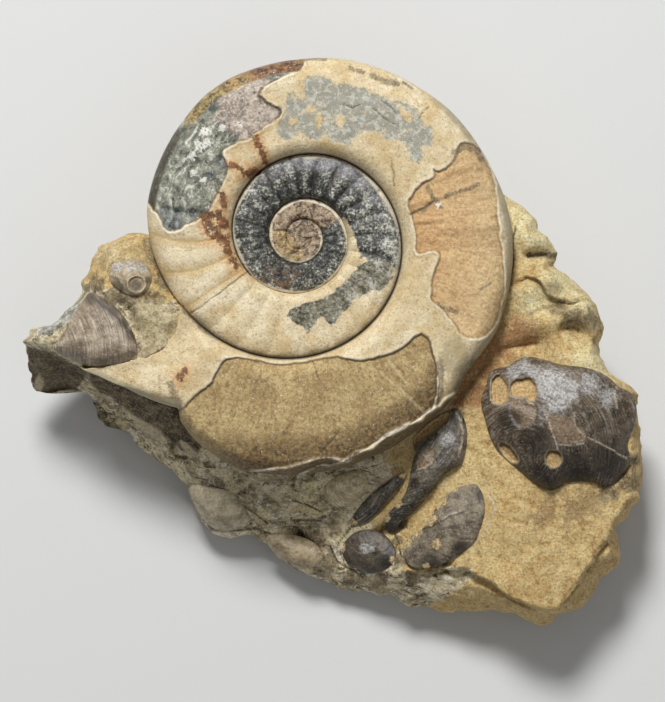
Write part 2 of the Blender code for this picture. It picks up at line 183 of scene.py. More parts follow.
def depth_inside(x, y, outline):
    """Distance from an outline, positive inside it."""
    gap = np.abs(beside(x, y, outline + outline[:1])[0])
    crossings = np.zeros(np.shape(x), bool)
    for (x1, y1), (x2, y2) in zip(outline, outline[1:] + outline[:1]):
        if y1 != y2:
            crossings ^= ((y1 > y) != (y2 > y)) & (x < x1 + (y - y1) * (x2 - x1) / (y2 - y1))
    return np.where(crossings, gap, -gap)


def ragged(x, y, outline, seed, size=10.0, reach=2.2):
    """Depth inside an outline whose edge is worn, -99 where it is far."""
    depth = np.full(np.shape(x), -99.0)
    here = close_to(x, y, outline)
    if here.any():
        x, y = x[here], y[here]
        moved = x + rough(x, y, size, seed) * reach, y + rough(x, y, size, seed + 50) * reach
        depth[here] = depth_inside(*moved, cut_corners(outline))
    return depth


square = [(0, 0), (10, 0), (10, 10), (0, 10)]
print("depth at the middle of a square:", depth_inside(np.array([5.0]), np.array([5.0]), square))

# %% [markdown]
# Spots, smears and even steps
#
# Stains are soft, so they are not cut out by an outline. They are round spots or smears along a
# line that fade outwards. The last helper walks round an outline in even steps, as the segments of
# a mesh need it.

# %% spots, smears and even steps
def spotted(x, y, spots):
    """Soft round spots, 1 in their middles."""
    total = np.zeros(np.shape(x))
    for spot_x, spot_y, size in spots:
        gap = ((x - spot_x) ** 2 + (y - spot_y) ** 2) / size**2
        total = np.maximum(total, np.exp(-gap))
    return total


def smears(x, y, marks, spread=1.0):
    """Soft marks along lines, 1 in their middles; each mark is a width and its places."""
    total = np.zeros(np.shape(x))
    for width, *line in marks:
        gap = distance_to(x, y, line) / (width * spread)
        total = np.maximum(total, np.exp(-(gap**2)))
    return total


def evenly(outline, count):
    """A closed outline read at even steps along its length."""
    rows = np.array(list(outline) + [outline[0]], float)
    lengths = np.hypot(*np.diff(rows[:, :2], axis=0).T)
    along = np.append(0, np.cumsum(lengths))
    steps = np.linspace(0, along[-1], count, endpoint=False)
    return np.array([np.interp(steps, along, column) for column in rows.T]).T


print("a square in eight even steps:", evenly(square, 8).tolist())

# %% [markdown]
# The coil
#
# An ammonite grows along a logarithmic spiral: each turn the radius grows by the same factor, here
# 2.144. A turn's inner edge is a seam where it lies on the turn before. The last turn's outer edge
# is the bare keel, and its radius follows the worn rim of this specimen.

# %% the spiral and the rim
COIL_CENTRE = (301.0, 236.5)
COIL_START_RADIUS = 21.68
WHORL_GROWTH = 2.144
RIBS_PER_TURN = 24
FIRST_TURN = -1.0
LAST_TURN = 326 / 96
FREE_RIM_TURN = LAST_TURN - 1
FURROW_TURN = 0.0014
MID_HEIGHT = 0.0260
LAST_HALF_WIDTH = 0.0062
SEAM_LEVEL = 0.45
BACK_DEPTH = 0.0060
RIM_INSET = 48.0
SHELL_LAYER = 0.0005

RIM = [
    (147, 208), (158, 165), (170, 140), (185, 118), (205, 95), (230, 78), (262, 66),
    (300, 59), (345, 59), (385, 70), (420, 88), (450, 110), (475, 140), (490, 165),
    (507, 205), (513, 240), (512, 270), (506, 300), (497, 330), (480, 355), (465, 375),
    (455, 395), (440, 412), (415, 431), (394, 446), (370, 457), (345, 467), (310, 473),
    (287, 475), (262, 473), (240, 469),
    (215, 455), (195, 440), (180, 420), (178, 408), (155, 401), (127, 388), (99, 376),
    (82, 369),
]
MOUTH_EDGE = [
    (0.0, 3.418), (0.12, 3.404), (0.25, 3.394), (0.45, 3.391), (0.6, 3.396), (0.85, 3.406),
    (1.0, 3.414),
]


print("turns of the coil:", round(LAST_TURN - FIRST_TURN, 2))

# %% [markdown]
# Places on the coil
#
# Every point of the coil is told by its turn and by how far it lies across the whorl. From these two
# come its radius, its angle and its height, so a mark that follows the spiral needs no drawing. The
# flank of a whorl is nearly flat, with a rounded shoulder at each side.

# %% places on the coil
def spiral_radius(turn):
    return COIL_START_RADIUS * WHORL_GROWTH**turn


def inner_radius(turn):
    """The first turn reaches the centre."""
    return np.where(turn < FIRST_TURN + 1, 0, spiral_radius(turn - 1))


def rim_shares():
    """How far the worn rim stands out against the spiral, by turn."""
    rows = [(FREE_RIM_TURN, 1.0)]
    for x, y in RIM:
        dx, dy = x - COIL_CENTRE[0], y - COIL_CENTRE[1]
        turn = math.atan2(dy, dx) / math.tau % 1 + 2
        if turn < rows[-1][0]:
            turn += 1
        rows.append((turn, math.hypot(dx, dy) / spiral_radius(turn)))
    return np.array(rows)


RIM_SHARES = rim_shares()


def outer_radius(turn):
    share = np.interp(turn, *RIM_SHARES.T)
    return spiral_radius(turn) * np.where(turn > FREE_RIM_TURN, share, 1.0)


def half_width(turn):
    return LAST_HALF_WIDTH * WHORL_GROWTH ** (turn - 3.2)


def seam_height(turn):
    bare = np.clip((turn - FREE_RIM_TURN) / 0.08, 0, 1)
    return MID_HEIGHT + SEAM_LEVEL * half_width(turn) * (1 - bare)


def coil_place(turn, across):
    """Face x and y on the coil, across running from the inner seam (0) to the outer edge (1)."""
    radius = inner_radius(turn)
    radius = radius + (outer_radius(turn) - radius) * across
    angle = turn * math.tau
    return COIL_CENTRE[0] + radius * np.cos(angle), COIL_CENTRE[1] + radius * np.sin(angle)


def smooth_flank(turn, across):
    """Height of the coil before ribs and damage."""
    low, high = seam_height(turn - 1), seam_height(turn)
    base = low + (high - low) * across
    flank = MID_HEIGHT + half_width(turn) * (1 + 0.06 * np.sin(math.pi * across))
    shoulder = 0.28 - 0.14 * soft((turn - 2.9) / 0.25)
    hump = rounded(across / 0.17) * rounded((1 - across) / shoulder)
    return base + (flank - base) * hump


print("radius at the last turn, mm:", round(float(outer_radius(LAST_TURN)) * UNIT * 1000, 1))

# %% [markdown]
# Where the shell has gone
#
# The cream layer is the fossil shell. It has flaked off in patches: over dark crystal at the upper
# left, over thin blue-grey shell on top, over an orange mould at the right and a tan mould along
# the bottom. Each patch is an outline on the face. Its edge is made ragged with wobble, and the
# distance inside it is kept, because both the relief and the colours need it.

# %% outlines of the patches
DARK_WINDOW = [
    (146, 203), (160, 216), (165, 230), (178, 232), (190, 222), (202, 217), (212, 206),
    (219, 190), (230, 172), (223, 154), (224, 148), (242, 140), (248, 140), (259, 131),
    (273, 122), (282, 114), (280, 107), (270, 104), (263, 98), (258, 95), (262, 89),
    (273, 82), (287, 73), (304, 69), (302, 54), (262, 54), (225, 70), (195, 90), (160, 130),
    (140, 180),
]
BLUE_PATCH = [
    (303, 79), (314, 75), (328, 79), (335, 85), (342, 84), (366, 88), (383, 98), (404, 102),
    (417, 112), (424, 123), (432, 126), (432, 143), (421, 148), (422, 161), (415, 162),
    (410, 154), (404, 141), (390, 140), (382, 134), (377, 129), (362, 131), (354, 137),
    (348, 145), (333, 141), (324, 133), (319, 140), (306, 138), (300, 128), (296, 138),
    (285, 141), (277, 133), (279, 120), (287, 112), (285, 103), (290, 93), (300, 97),
    (308, 100), (305, 90),
]
BLUE_ISLANDS = [
    [(336, 116), (342, 114), (346, 120), (343, 129), (337, 126)],
    [(305, 105), (314, 104), (318, 110), (312, 114), (305, 112)],
    [(317, 112), (322, 110), (322, 124), (318, 132), (315, 122)],
    [(396, 103), (408, 108), (414, 118), (409, 124), (401, 114)],
    [(372, 82), (382, 88), (378, 94), (370, 90)],
    [(290, 118), (297, 120), (295, 126), (289, 124)],
]
RIGHT_MOULD = [
    (456, 152), (452, 161), (446, 168), (437, 170), (433, 166), (434, 175), (428, 181),
    (420, 184), (413, 192), (407, 201), (412, 214),
    (416, 232), (416, 253), (421, 253), (430, 251), (439, 253), (440, 258), (433, 272),
    (431, 278), (433, 291), (430, 298), (443, 310), (453, 323), (461, 336), (474, 338),
    (487, 336), (493, 329), (502, 304), (505, 286), (502, 253), (500, 232), (497, 213),
    (496, 192), (489, 165), (478, 146), (466, 140), (458, 146),
]
LOWER_MOULD = [
    (180, 410), (193, 395), (210, 385), (215, 374), (220, 365), (228, 356), (254, 360),
    (272, 363), (298, 363), (313, 360), (335, 356), (350, 359), (369, 359), (389, 354),
    (406, 345), (419, 332), (430, 339), (431, 350), (437, 361), (437, 376), (437, 391),
    (433, 408), (426, 413), (407, 425), (383, 438), (361, 451), (343, 462), (317, 464),
    (290, 478), (254, 486), (217, 478), (190, 464), (168, 440), (166, 416),
]
DARK_PATCH = [
    (397, 265), (386, 288), (372, 292), (354, 297), (339, 317), (333, 326), (320, 313),
    (308, 338), (304, 329), (295, 324), (286, 311), (301, 304), (319, 301), (336, 290),
    (351, 276), (362, 262), (380, 258),
]
print("points round the window of crystal:", len(DARK_WINDOW))

# %% [markdown]
# Stains, seams and cracks
#
# Iron has stained the shell in brown smears, with a paler halo round them. Fine dark seams cross the
# first turns, and a thin crest of shell stands up along the lower edge. Each mark is a width and
# the places that it runs through.

# %% marks on the coil
RUST_MARKS = [
    (4, (255, 138), (260, 147), (264, 156), (266, 163)), (4, (231, 164), (242, 168)),
    (5, (244, 173), (258, 171)), (5, (222, 194), (224, 205)), (6, (204, 217), (218, 214), (224, 224)),
    (7, (209, 225), (217, 235), (226, 240)), (5, (224, 240), (228, 252), (236, 265)),
    (4, (178, 378), (185, 370)),
]
# Grime marks are smears of dirt, except those along the seam at the lower left, in a fold of the right
# mould and along the shell's lower right edge, which are painted shadow.
GRIME_AND_SHADOW_MARKS = [
    (4, (372, 75), (385, 81), (397, 83)), (3, (350, 68), (363, 72)), (2, (300, 59), (326, 59)),
    (2, (403, 82), (412, 88)), (5, (455, 152), (465, 146), (476, 148), (481, 158)),
    (3, (446, 196), (456, 192), (467, 189), (479, 184)), (3, (427, 187), (433, 197), (441, 207)),
    (3, (411, 213), (422, 209), (434, 201)), (2, (480, 289), (490, 283)),
    (3, (438, 303), (447, 309), (457, 312)), (4, (441, 362), (442, 382), (438, 402)),
    (5, (475, 361), (467, 374), (458, 388)), (5, (170, 384), (175, 396)), (2, (263, 381), (265, 381)),
    (2, (283, 432), (284, 433)), (2, (326, 416), (327, 417)), (2, (411, 371), (412, 371)),
    (3, (183, 309), (206, 332), (238, 347)), (2, (262, 88), (258, 96), (270, 105), (281, 107)),
]
WHITE_SPOTS = [
    (438, 205, 4), (204, 132, 6), (210, 128, 4), (240, 124, 4), (222, 128, 5), (200, 146, 7),
    (192, 156, 5), (208, 142, 5), (194, 172, 4), (204, 180, 4),
]
WINDOW_SPOTS = {
    "reddish": [(264, 68, 15), (286, 68, 14), (299, 72, 9)],
    "olive": [(184, 114, 14), (200, 100, 14), (216, 90, 12)],
    "deep": [(172, 224, 12), (270, 116, 11), (224, 160, 9), (165, 210, 6), (178, 211, 6),
             (192, 212, 6), (210, 176, 6), (268, 108, 8)],
}
NUCLEUS_YELLOW = [(286, 244, 12), (294, 254, 9), (279, 236, 8)]
SUTURES = [
    [(274, 230), (283, 229), (291, 232)], [(296, 228), (302, 222), (307, 216)],
    [(291, 253), (298, 251)], [(338, 166), (333, 174), (331, 184)],
    [(290, 157), (295, 167), (298, 178)], [(264, 172), (269, 178), (274, 185)],
]
FLAKE_CREST = [
    (455, 393), (446, 399), (440, 406), (427, 412), (422, 420), (407, 424), (394, 431),
    (383, 437), (373, 448), (357, 452), (349, 458), (343, 461), (330, 457), (318, 458),
    (304, 463), (286, 468), (254, 471), (236, 468),
]
CRACKS = [
    [(248, 271), (222, 291), (192, 313)], [(392, 163), (394, 174), (394, 186)],
    [(312, 361), (316, 370), (321, 381)], [(340, 429), (332, 440), (321, 452)],
    [(438, 362), (439, 385), (437, 408)], [(411, 214), (422, 209), (434, 201)],
    [(374, 108), (384, 118), (394, 124)], [(344, 104), (352, 108), (360, 104)],
    [(381, 100), (390, 106), (396, 113)], [(420, 118), (424, 110), (430, 106)],
    [(159, 375), (160, 384), (160, 394)],
]
SCRATCHES = [[(381, 373), (402, 390), (424, 412)], [(389, 360), (398, 372), (407, 384)]]
print("stains:", len(RUST_MARKS) + len(GRIME_AND_SHADOW_MARKS), "cracks:", len(CRACKS))

# %% [markdown]
# Reading the patches and marks
#
# For every point of the coil, these two functions give its depth inside each patch and its share of
# each stain. The inner turns lie under the same outlines, so patches count on the last turns only.

# %% depths and stains
def patch_depths(x, y, turn):
    """Depth inside each kind of patch, in face units."""
    outer = turn > FREE_RIM_TURN - 0.02
    hidden = np.full(np.shape(x), -99.0)
    depths = {}
    window = ragged(x, y, DARK_WINDOW, 3)
    blue = ragged(x, y, BLUE_PATCH, 5, 8.0, 3.0)
    for island in BLUE_ISLANDS:
        blue = np.minimum(blue, -ragged(x, y, island, 8, 6.0, 2.0))
    depths["window"] = np.where(outer, window, hidden)
    depths["blue"] = np.where(outer, blue, hidden)
    depths["orange"] = np.where(outer, ragged(x, y, RIGHT_MOULD, 11), hidden)
    depths["tan"] = np.where(outer, ragged(x, y, LOWER_MOULD, 13, 12.0, 1.6), hidden)
    return depths


def stain_values(x, y):
    """Rust, its halos, grime with some painted shadow, and white spots."""
    return {"rust": smears(x, y, RUST_MARKS), "halo": smears(x, y, RUST_MARKS, 2.4),
            "grime": smears(x, y, GRIME_AND_SHADOW_MARKS), "white": spotted(x, y, WHITE_SPOTS)}


middle = patch_depths(np.array([200.0]), np.array([160.0]), np.array([2.7]))
print("depth inside the window of crystal, in steps:", np.round(middle["window"], 1))

# %% [markdown]
# The coil's surface
#
# The coil starts as a flat grid from bmesh. One side of the grid runs along the spiral and the
# other across the whorl, and numpy moves all its points at once onto the spiral. Ribs are a wave
# along the spiral that fades on the last turn. The outer grid carries on round the keel to the
# back, and its last columns drop down to close the end of the body chamber.

# %% grid helpers
def flat_grid(name, columns, rows):
    """A grid object and its points' column and row numbers."""
    bm = bmesh.new()
    bmesh.ops.create_grid(bm, x_segments=columns, y_segments=rows, size=1)
    mesh = bpy.data.meshes.new(name)
    bm.to_mesh(mesh)
    bm.free()
    places = np.empty(len(mesh.vertices) * 3, np.float32)
    mesh.vertices.foreach_get("co", places)
    places = places.reshape(-1, 3)
    column = np.rint((places[:, 0] + 1) / 2 * columns)
    row = np.rint((places[:, 1] + 1) / 2 * rows)
    thing = bpy.data.objects.new(name, mesh)
    bpy.context.scene.collection.objects.link(thing)
    return thing, column, row


def place_points(thing, places):
    thing.data.vertices.foreach_set("co", np.ascontiguousarray(places, np.float32).ravel())
    thing.data.shade_smooth()
    thing.data.update()


def keep_values(thing, **values):
    """Store one number per point for the materials to read."""
    for name, value in values.items():
        layer = thing.data.attributes.new(name, "FLOAT", "POINT")
        layer.data.foreach_set("value", np.ascontiguousarray(value, np.float32))


# %% [markdown]
# Ribs and damage
#
# On the real shell the ribs are folds that the animal grew in. Here they are a wave along the spiral,
# worn away on the first turns and on the last. Everything else is added to the same height: the step
# down where shell is missing, its curled edge, the standing flake, lumps on the rim and cracks. One
# sum of heights keeps the mesh closed, where carving each mark with a boolean could tear it.

# %% relief of the coil
def rib_wave(turn, across):
    """Radial ribs: broad rounded ridges between narrow furrows."""
    lean = 0.006 * np.sin(across * math.pi)
    phase = (turn - FURROW_TURN + lean) * RIBS_PER_TURN
    uneven = 0.12 * wobble(phase / 1.7, across * 2, 1.0, 29)
    wave = np.abs(np.sin((phase + uneven) * math.pi))
    size = 1 + 0.45 * wobble(phase + 0.5, across * 1.5, 1.0, 30)
    return (wave**0.7 - 0.62) * size


def worn_ribs(turn):
    """Share of the ribs that is left: little on the first turns."""
    return 1 - 0.6 * soft((1.66 - turn) / 0.12)


def rib_strength(turn):
    strong = np.clip(half_width(turn) / 0.0024, 0, 1.25)
    fade = 1 - 0.45 * soft((turn - 2.1) / 0.2) - 0.55 * soft((turn - 2.48) / 0.14)
    nucleus = 1 - 0.8 * soft((1.0 - turn) / 0.1)
    return 0.00046 * strong * fade * nucleus * worn_ribs(turn)


def coil_relief(x, y, turn, across, depths):
    """Height of the coil with its ribs, shell edges, flake, cracks and grain."""
    height = smooth_flank(turn, across)
    on_flank = soft(across / 0.12) * soft((1 - across) / 0.12)
    height = height + rib_strength(turn) * rib_wave(turn, across) * on_flank
    mould = np.maximum(depths["orange"], depths["tan"])
    bare = np.maximum(mould, depths["window"])
    height = height - SHELL_LAYER * soft(bare / 1.6 + 0.5)
    height = height - 0.00012 * soft(depths["blue"] / 1.5 + 0.5)
    curl = np.exp(-(((bare + 1.6) / 1.8) ** 2))
    height = height + 0.00012 * curl * (turn > FREE_RIM_TURN)
    height = height + 0.00016 * rough(x, y, 5, 33, 3) * soft((0.98 - turn) / 0.08)
    height = height + 0.00022 * rough(x, y, 34, 31) * soft(half_width(turn) / 0.004)
    waves = wobble(turn * 220, across * 3, 2.6, 34) + 0.6 * wobble(turn * 220, across * 5, 1.1, 35)
    folds = 1 + 1.2 * soft((3.05 - turn) / 0.05)
    height = height + 0.00009 * folds * waves * soft(mould / 3)
    grain = soft(mould / 2) * 0.00007 + 0.00002
    height = height + grain * rough(x, y, 4.5, 37, 3)
    lumps = soft((across - 0.78) / 0.14) * soft((turn - 2.6) / 0.03) * soft((3.05 - turn) / 0.1)
    height = height + 0.0004 * lumps * rough(x, y, 9, 44, 3)
    crystal = soft(depths["window"] / 2)
    height = height + crystal * 0.00012 * rough(x, y, 7, 41, 4)
    furrow = np.exp(-((distance_to(x, y, [(160, 207), (175, 212), (201, 214)]) / 4) ** 2))
    furrow = furrow + np.exp(-((distance_to(x, y, [(200, 122), (212, 132), (223, 144)]) / 3) ** 2))
    height = height - crystal * 0.0005 * furrow
    height = height + 0.00018 * soft(depths["blue"] / 3) * rough(x, y, 11, 42, 3)
    off, _ = beside(x, y, FLAKE_CREST)
    near_crest = (turn > 3) & (np.abs(off) < 30)
    crest = np.exp(-((off / np.where(off > 0, 1.5, 4.0)) ** 2)) * near_crest
    height = height + 0.0010 * crest * (1 + 0.4 * rough(x, y, 9, 43))
    for crack in CRACKS:
        gap = distance_to(x + 1.2 * rough(x, y, 7, 47), y, crack)
        height = height - 0.0002 * np.exp(-((gap / 0.9) ** 2))
    return height


print("height of a rib at turn 2, mm:", round(float(rib_strength(2.0)) * 1000, 2))

# %% [markdown]
# The first turns
#
# The inner turns are small and dark, so they get a grid of their own, which starts at the centre.
# The values that only they need, such as the thin pale line along each seam, are kept on it.

# %% the first turns
INNER_COLUMNS, INNER_ROWS = 1500, 44


def white_line(turn, across):
    """Thin pale line of shell along the seams of the first turns."""
    width = 0.05 + 0.03 * np.sin(turn * 40) + 0.10 * soft((1.0 - turn) / 0.1)
    line = soft((across - 1 + width + 0.04) / 0.04)
    return line * soft((turn + 0.1) / 0.1) * soft((2.1 - turn) / 0.1)


def line_mask(x, y, lines, width):
    gap = np.minimum.reduce([distance_to(x + 1.2 * rough(x, y, 7, 47), y, line) for line in lines])
    return np.exp(-((gap / width) ** 2))


def make_inner_whorls():
    thing, column, row = flat_grid("inner_whorls", INNER_COLUMNS, INNER_ROWS)
    turn = FIRST_TURN + column / INNER_COLUMNS * (FREE_RIM_TURN - FIRST_TURN)
    across = row / INNER_ROWS * 1.04
    x, y = coil_place(turn, across)
    depths = patch_depths(x, y, turn)
    height = coil_relief(x, y, turn, np.minimum(across, 1), depths)
    height = height - 0.0006 * np.clip(across - 1, 0, 1) / 0.04
    place_points(thing, lay(x, y, height))
    strip = (across - 0.06) / 0.06 - soft((turn - 1.93) / 0.2) * 5
    cream = np.maximum((turn - 2.052) * 260, np.where(turn > 1.93, -strip * 2, -99))
    cream = np.minimum(cream, -ragged(x, y, DARK_PATCH, 71, 8.0, 2.5))
    smooth = soft((across - 0.55) / 0.2) * np.exp(-(((turn - 1.80) / 0.13) ** 2))
    brown = np.exp(-(((turn - 1.31) / 0.07) ** 2)) * soft(across / 0.4)
    olive = soft(ragged(x, y, DARK_PATCH, 71, 8.0, 2.5) / 6 + 0.5) * (turn > 1.93)
    keep_values(thing, turn=turn, across=across, cream=cream, smooth=smooth, brown=brown,
                olive=olive, yellow=spotted(x, y, NUCLEUS_YELLOW),
                suture=line_mask(x, y, SUTURES, 1.2),
                rib=rib_wave(turn, across) * worn_ribs(turn), white_line=white_line(turn, across),
                crack=line_mask(x, y, CRACKS, 0.7), **stain_values(x, y))
    return thing


inner_whorls = make_inner_whorls()
print("faces of the first turns:", len(inner_whorls.data.polygons))

# %% [markdown]
# Marks on the last whorl
#
# Colour and shape have to agree, so the same distances that shape the shell's edges are kept here
# as numbers on the points: the lit lip of an edge, the painted shade under it, the golden rim, the
# painted shade on the flake's side and on the low side, the painted shadow at the flake's foot and
# so on.

# %% values kept on the last whorl
def outer_marks(x, y, turn, across, turned, depths):
    """Numbers for the finish; turned is how far the rim has rolled over, in radians."""
    bare = np.maximum(np.maximum(depths["orange"], depths["tan"]), depths["window"])
    off, _ = beside(x, y, FLAKE_CREST)
    low_edge = (turn > 3) & (across > 0.5) & (x > 250)
    lip = np.exp(-(((bare + 1.3) / 1.0) ** 2)) * soft(across / 0.1)
    radius = np.hypot(x - COIL_CENTRE[0], y - COIL_CENTRE[1])
    marks = {"lip": np.maximum(lip, np.exp(-(((off - 0.3) / 1.2) ** 2)) * low_edge)}
    marks["shade_under_lip"] = np.exp(-(((bare - 0.9) / 1.0) ** 2))
    # Painted shade on the flake's outer side, and painted shadow on the rolled rim below it.
    marks["flake_side_shade"] = soft((-off - 0.8) / 0.8) * low_edge
    marks["flake_foot_shadow"] = soft((turned - 0.4) / 0.4) * (x > 240) * (y > 380)
    marks["pink"] = np.exp(-((np.hypot(x - 250, (y - 108) * 1.1) / 38) ** 4))
    marks["gold"] = soft((across - 0.855) / 0.05) * soft((turn - 2.61) / 0.03)
    marks["dusk"] = soft((across - 0.86) / 0.1) * soft((2.63 - turn) / 0.03)
    # Painted shade on the low side of the last whorl, where the mould rounds down to the keel.
    low_side_shade = soft((turn - 2.95) / 0.12) * soft((across - 0.5) / 0.4)
    marks["low_side_shade"] = low_side_shade * soft((3.36 - turn) / 0.1)
    marks["rim_band"] = soft((across - 0.93) / 0.03) * soft((turn - 2.86) / 0.03)
    marks["tail"] = np.exp(-((np.hypot((x - 455) / 16, (y - 356) / 22)) ** 4))
    marks["rib"] = rib_wave(turn, across) * soft((2.62 - turn) / 0.16)
    marks["crack"] = line_mask(x, y, CRACKS, 0.6)
    marks["scratch"] = line_mask(x, y, SCRATCHES, 0.9)
    marks["run"], marks["climb"] = turn * 220, radius * UNIT * 1000
    for name, spots in WINDOW_SPOTS.items():
        marks[name] = spotted(x, y, spots)
    return marks


print("kinds of spot in the window:", sorted(WINDOW_SPOTS))

# %% [markdown]
# The last whorl
#
# The last whorl carries on over the keel and round to the back. Its last rows roll inward like the
# real rim, and its last columns drop to close the end of the body chamber, so the piece has no open
# edge that shows.

# %% the last whorl
OUTER_COLUMNS, FLANK_ROWS, ROLL_ROWS, BACK_ROWS = 800, 100, 12, 6
END_COLUMNS = 6


def make_outer_whorl():
    rows = FLANK_ROWS + ROLL_ROWS + BACK_ROWS
    columns = OUTER_COLUMNS + END_COLUMNS
    thing, column, row = flat_grid("outer_whorl", columns, rows)
    share = np.minimum(column / OUTER_COLUMNS, 1)
    across = np.minimum(row / FLANK_ROWS, 1)
    mouth = np.interp(across, *np.array(MOUTH_EDGE).T) + 0.003 * rough(row, row * 0, 9, 77)
    turn = FREE_RIM_TURN + share * (LAST_TURN - FREE_RIM_TURN)
    turn = turn + (mouth - LAST_TURN) * soft((share - 0.93) / 0.07)
    x, y = coil_place(turn, across)
    depths = patch_depths(x, y, turn)
    height = coil_relief(x, y, turn, across, depths)
    mouth_level = 0.0290 + 0.0024 * soft((x - 80) / 80) + 0.00025 * rough(x, y, 14, 79)
    settle = soft((turn - 3.355) / 0.04)
    height = height + (mouth_level - height) * settle
    turned = np.clip((row - FLANK_ROWS) / ROLL_ROWS, 0, 1) * math.pi / 2
    back = np.clip((row - FLANK_ROWS - ROLL_ROWS) / BACK_ROWS, 0, 1)
    floor = MID_HEIGHT - BACK_DEPTH
    flank_x, flank_y = x, y
    height = height - (height - floor) * np.sin(turned)
    inset = RIM_INSET * (1 - np.cos(turned)) + back * 40
    radius = np.hypot(x - COIL_CENTRE[0], y - COIL_CENTRE[1])
    pull = np.where(row > FLANK_ROWS, 1 - inset / radius, 1)
    x, y = COIL_CENTRE[0] + (x - COIL_CENTRE[0]) * pull, COIL_CENTRE[1] + (y - COIL_CENTRE[1]) * pull
    drop = np.clip((column - OUTER_COLUMNS) / END_COLUMNS, 0, 1)
    height = height + (floor - height) * drop
    place_points(thing, lay(x, y, height))
    marks = outer_marks(flank_x, flank_y, turn, across, turned, depths)
    keep_values(thing, turn=turn, across=across, **marks, **stain_values(flank_x, flank_y), **depths)
    return thing


outer_whorl = make_outer_whorl()
print("faces of the last whorl:", len(outer_whorl.data.polygons))

# %% [markdown]
# The stone
#
# The block of stone is one closed body. It starts as a sphere: its rings become rings on the face,
# from the middle out to the stone's outline, then down the wall and in under the block to the flat
# spot that it rests on. The height of the face comes from a smooth surface through spots that were
# judged, as a modeller would pull a sheet of clay, and smaller ledges and hollows are added
# to it.

# %% outline and heights of the stone
STONE_EDGE = [
    (21, 342, 22, 14), (25, 346, 20, 14), (35, 390, 12, 10), (50, 393, 11, 10),
    (76, 387, 12, 10), (94, 396, 13, 10), (99, 417, 12, 10), (108, 426, 12, 12),
    (130, 432, 12, 12), (137, 444, 11, 12), (149, 457, 11, 12), (171, 471, 11, 14),
    (185, 485, 11, 14), (192, 501, 10, 14), (199, 519, 10, 12), (212, 535, 10, 12),
    (230, 539, 11, 12), (253, 535, 11, 12), (267, 544, 11, 12), (280, 559, 11, 12),
    (296, 569, 11, 12), (310, 575, 12, 14), (340, 589, 12, 18), (395, 597, 13, 24),
    (409, 606, 14, 36), (449, 611, 14, 44), (480, 614, 15, 34), (492, 611, 15, 28),
    (514, 613, 16, 18), (531, 623, 16, 17), (540, 625, 16, 16), (562, 616, 17, 8),
    (580, 613, 16, 16), (592, 597, 16, 18), (606, 576, 16, 18), (619, 561, 17, 16),
    (621, 545, 17, 14), (616, 528, 18, 8), (635, 506, 18, 10), (642, 499, 18, 10),
    (642, 430, 19, 10), (637, 409, 19, 10), (635, 394, 19, 12), (627, 384, 20, 12),
    (610, 373, 20, 12), (601, 355, 20, 12), (600, 343, 20, 10), (604, 335, 20, 10),
    (601, 319, 20, 12), (597, 304, 20, 12), (586, 292, 20, 12), (570, 277, 20, 12),
    (553, 265, 20, 10), (557, 253, 20, 10), (548, 237, 20, 12), (538, 229, 20, 12),
    (535, 218, 19, 12), (522, 206, 18, 12), (503, 195, 17, 12), (470, 168, 15, 12),
    (420, 138, 14, 12), (360, 120, 14, 12), (300, 116, 14, 12), (245, 132, 14, 12),
    (205, 163, 15, 12), (180, 205, 17, 12), (150, 235, 20, 12), (142, 233, 20, 14),
    (127, 234, 20, 16), (99, 247, 20, 16), (93, 258, 20, 16), (90, 272, 21, 14),
    (83, 282, 21, 14), (83, 290, 21, 14), (76, 304, 21, 14), (51, 325, 21, 14),
    (33, 328, 22, 14),
]
STONE_CENTRE = (330, 320)
STONE_SPOTS = [
    (28, 340, 25), (40, 345, 27), (60, 335, 27.5), (60, 362, 24), (45, 380, 15), (76, 378, 17),
    (90, 372, 26), (100, 340, 29), (100, 364, 29.5), (84, 300, 28), (98, 262, 26),
    (105, 280, 28.5), (136, 284, 29.5), (120, 255, 28), (142, 242, 24.5), (168, 262, 26),
    (130, 330, 29.9), (138, 360, 30.5), (160, 325, 31.1), (160, 350, 31), (178, 312, 30.4),
    (110, 385, 22), (94, 386, 19), (150, 404, 24), (180, 425, 24), (128, 415, 16.5),
    (150, 432, 17), (180, 452, 18), (190, 475, 16.5), (200, 500, 15), (235, 500, 17),
    (250, 480, 19), (300, 480, 20), (275, 512, 17.5), (240, 528, 14.5), (299, 534, 14.5),
    (300, 558, 15), (340, 475, 21), (345, 500, 19.5), (330, 545, 16.5), (340, 575, 16),
    (380, 460, 22), (385, 530, 19), (380, 580, 19), (430, 430, 23), (425, 470, 23.5),
    (400, 570, 21.5), (430, 585, 23), (450, 570, 25), (500, 560, 27.5), (470, 500, 25),
    (466, 440, 24.5), (520, 520, 28), (511, 590, 28.5), (560, 600, 28.5), (560, 540, 28),
    (600, 500, 27.5), (620, 490, 27), (634, 460, 25.5), (470, 380, 24.5), (505, 352, 24),
    (540, 344, 25), (512, 250, 24.5), (512, 300, 24.5), (530, 235, 26.5), (545, 257, 24.5),
    (548, 280, 27.5), (560, 297, 25), (575, 312, 27), (575, 332, 24.5), (545, 325, 27.5),
    (590, 352, 27), (560, 350, 27), (620, 395, 26), (560, 420, 27), (520, 215, 24),
    (400, 300, 22), (300, 236, 20), (300, 400, 20), (220, 330, 22), (400, 180, 20),
]
BASE_CENTRE = (0.004, 0.002)
BASE_SHARE = 0.66
print("points round the stone:", len(STONE_EDGE))

# %% [markdown]
# Ledges, grooves and hollows
#
# The stone broke in steps. A ledge is a line with a drop on one side of it, which dies away
# further out. A groove is a line with a soft dent along it. Hollows are round dents. Each has a
# depth in millimetres and a width on the face.

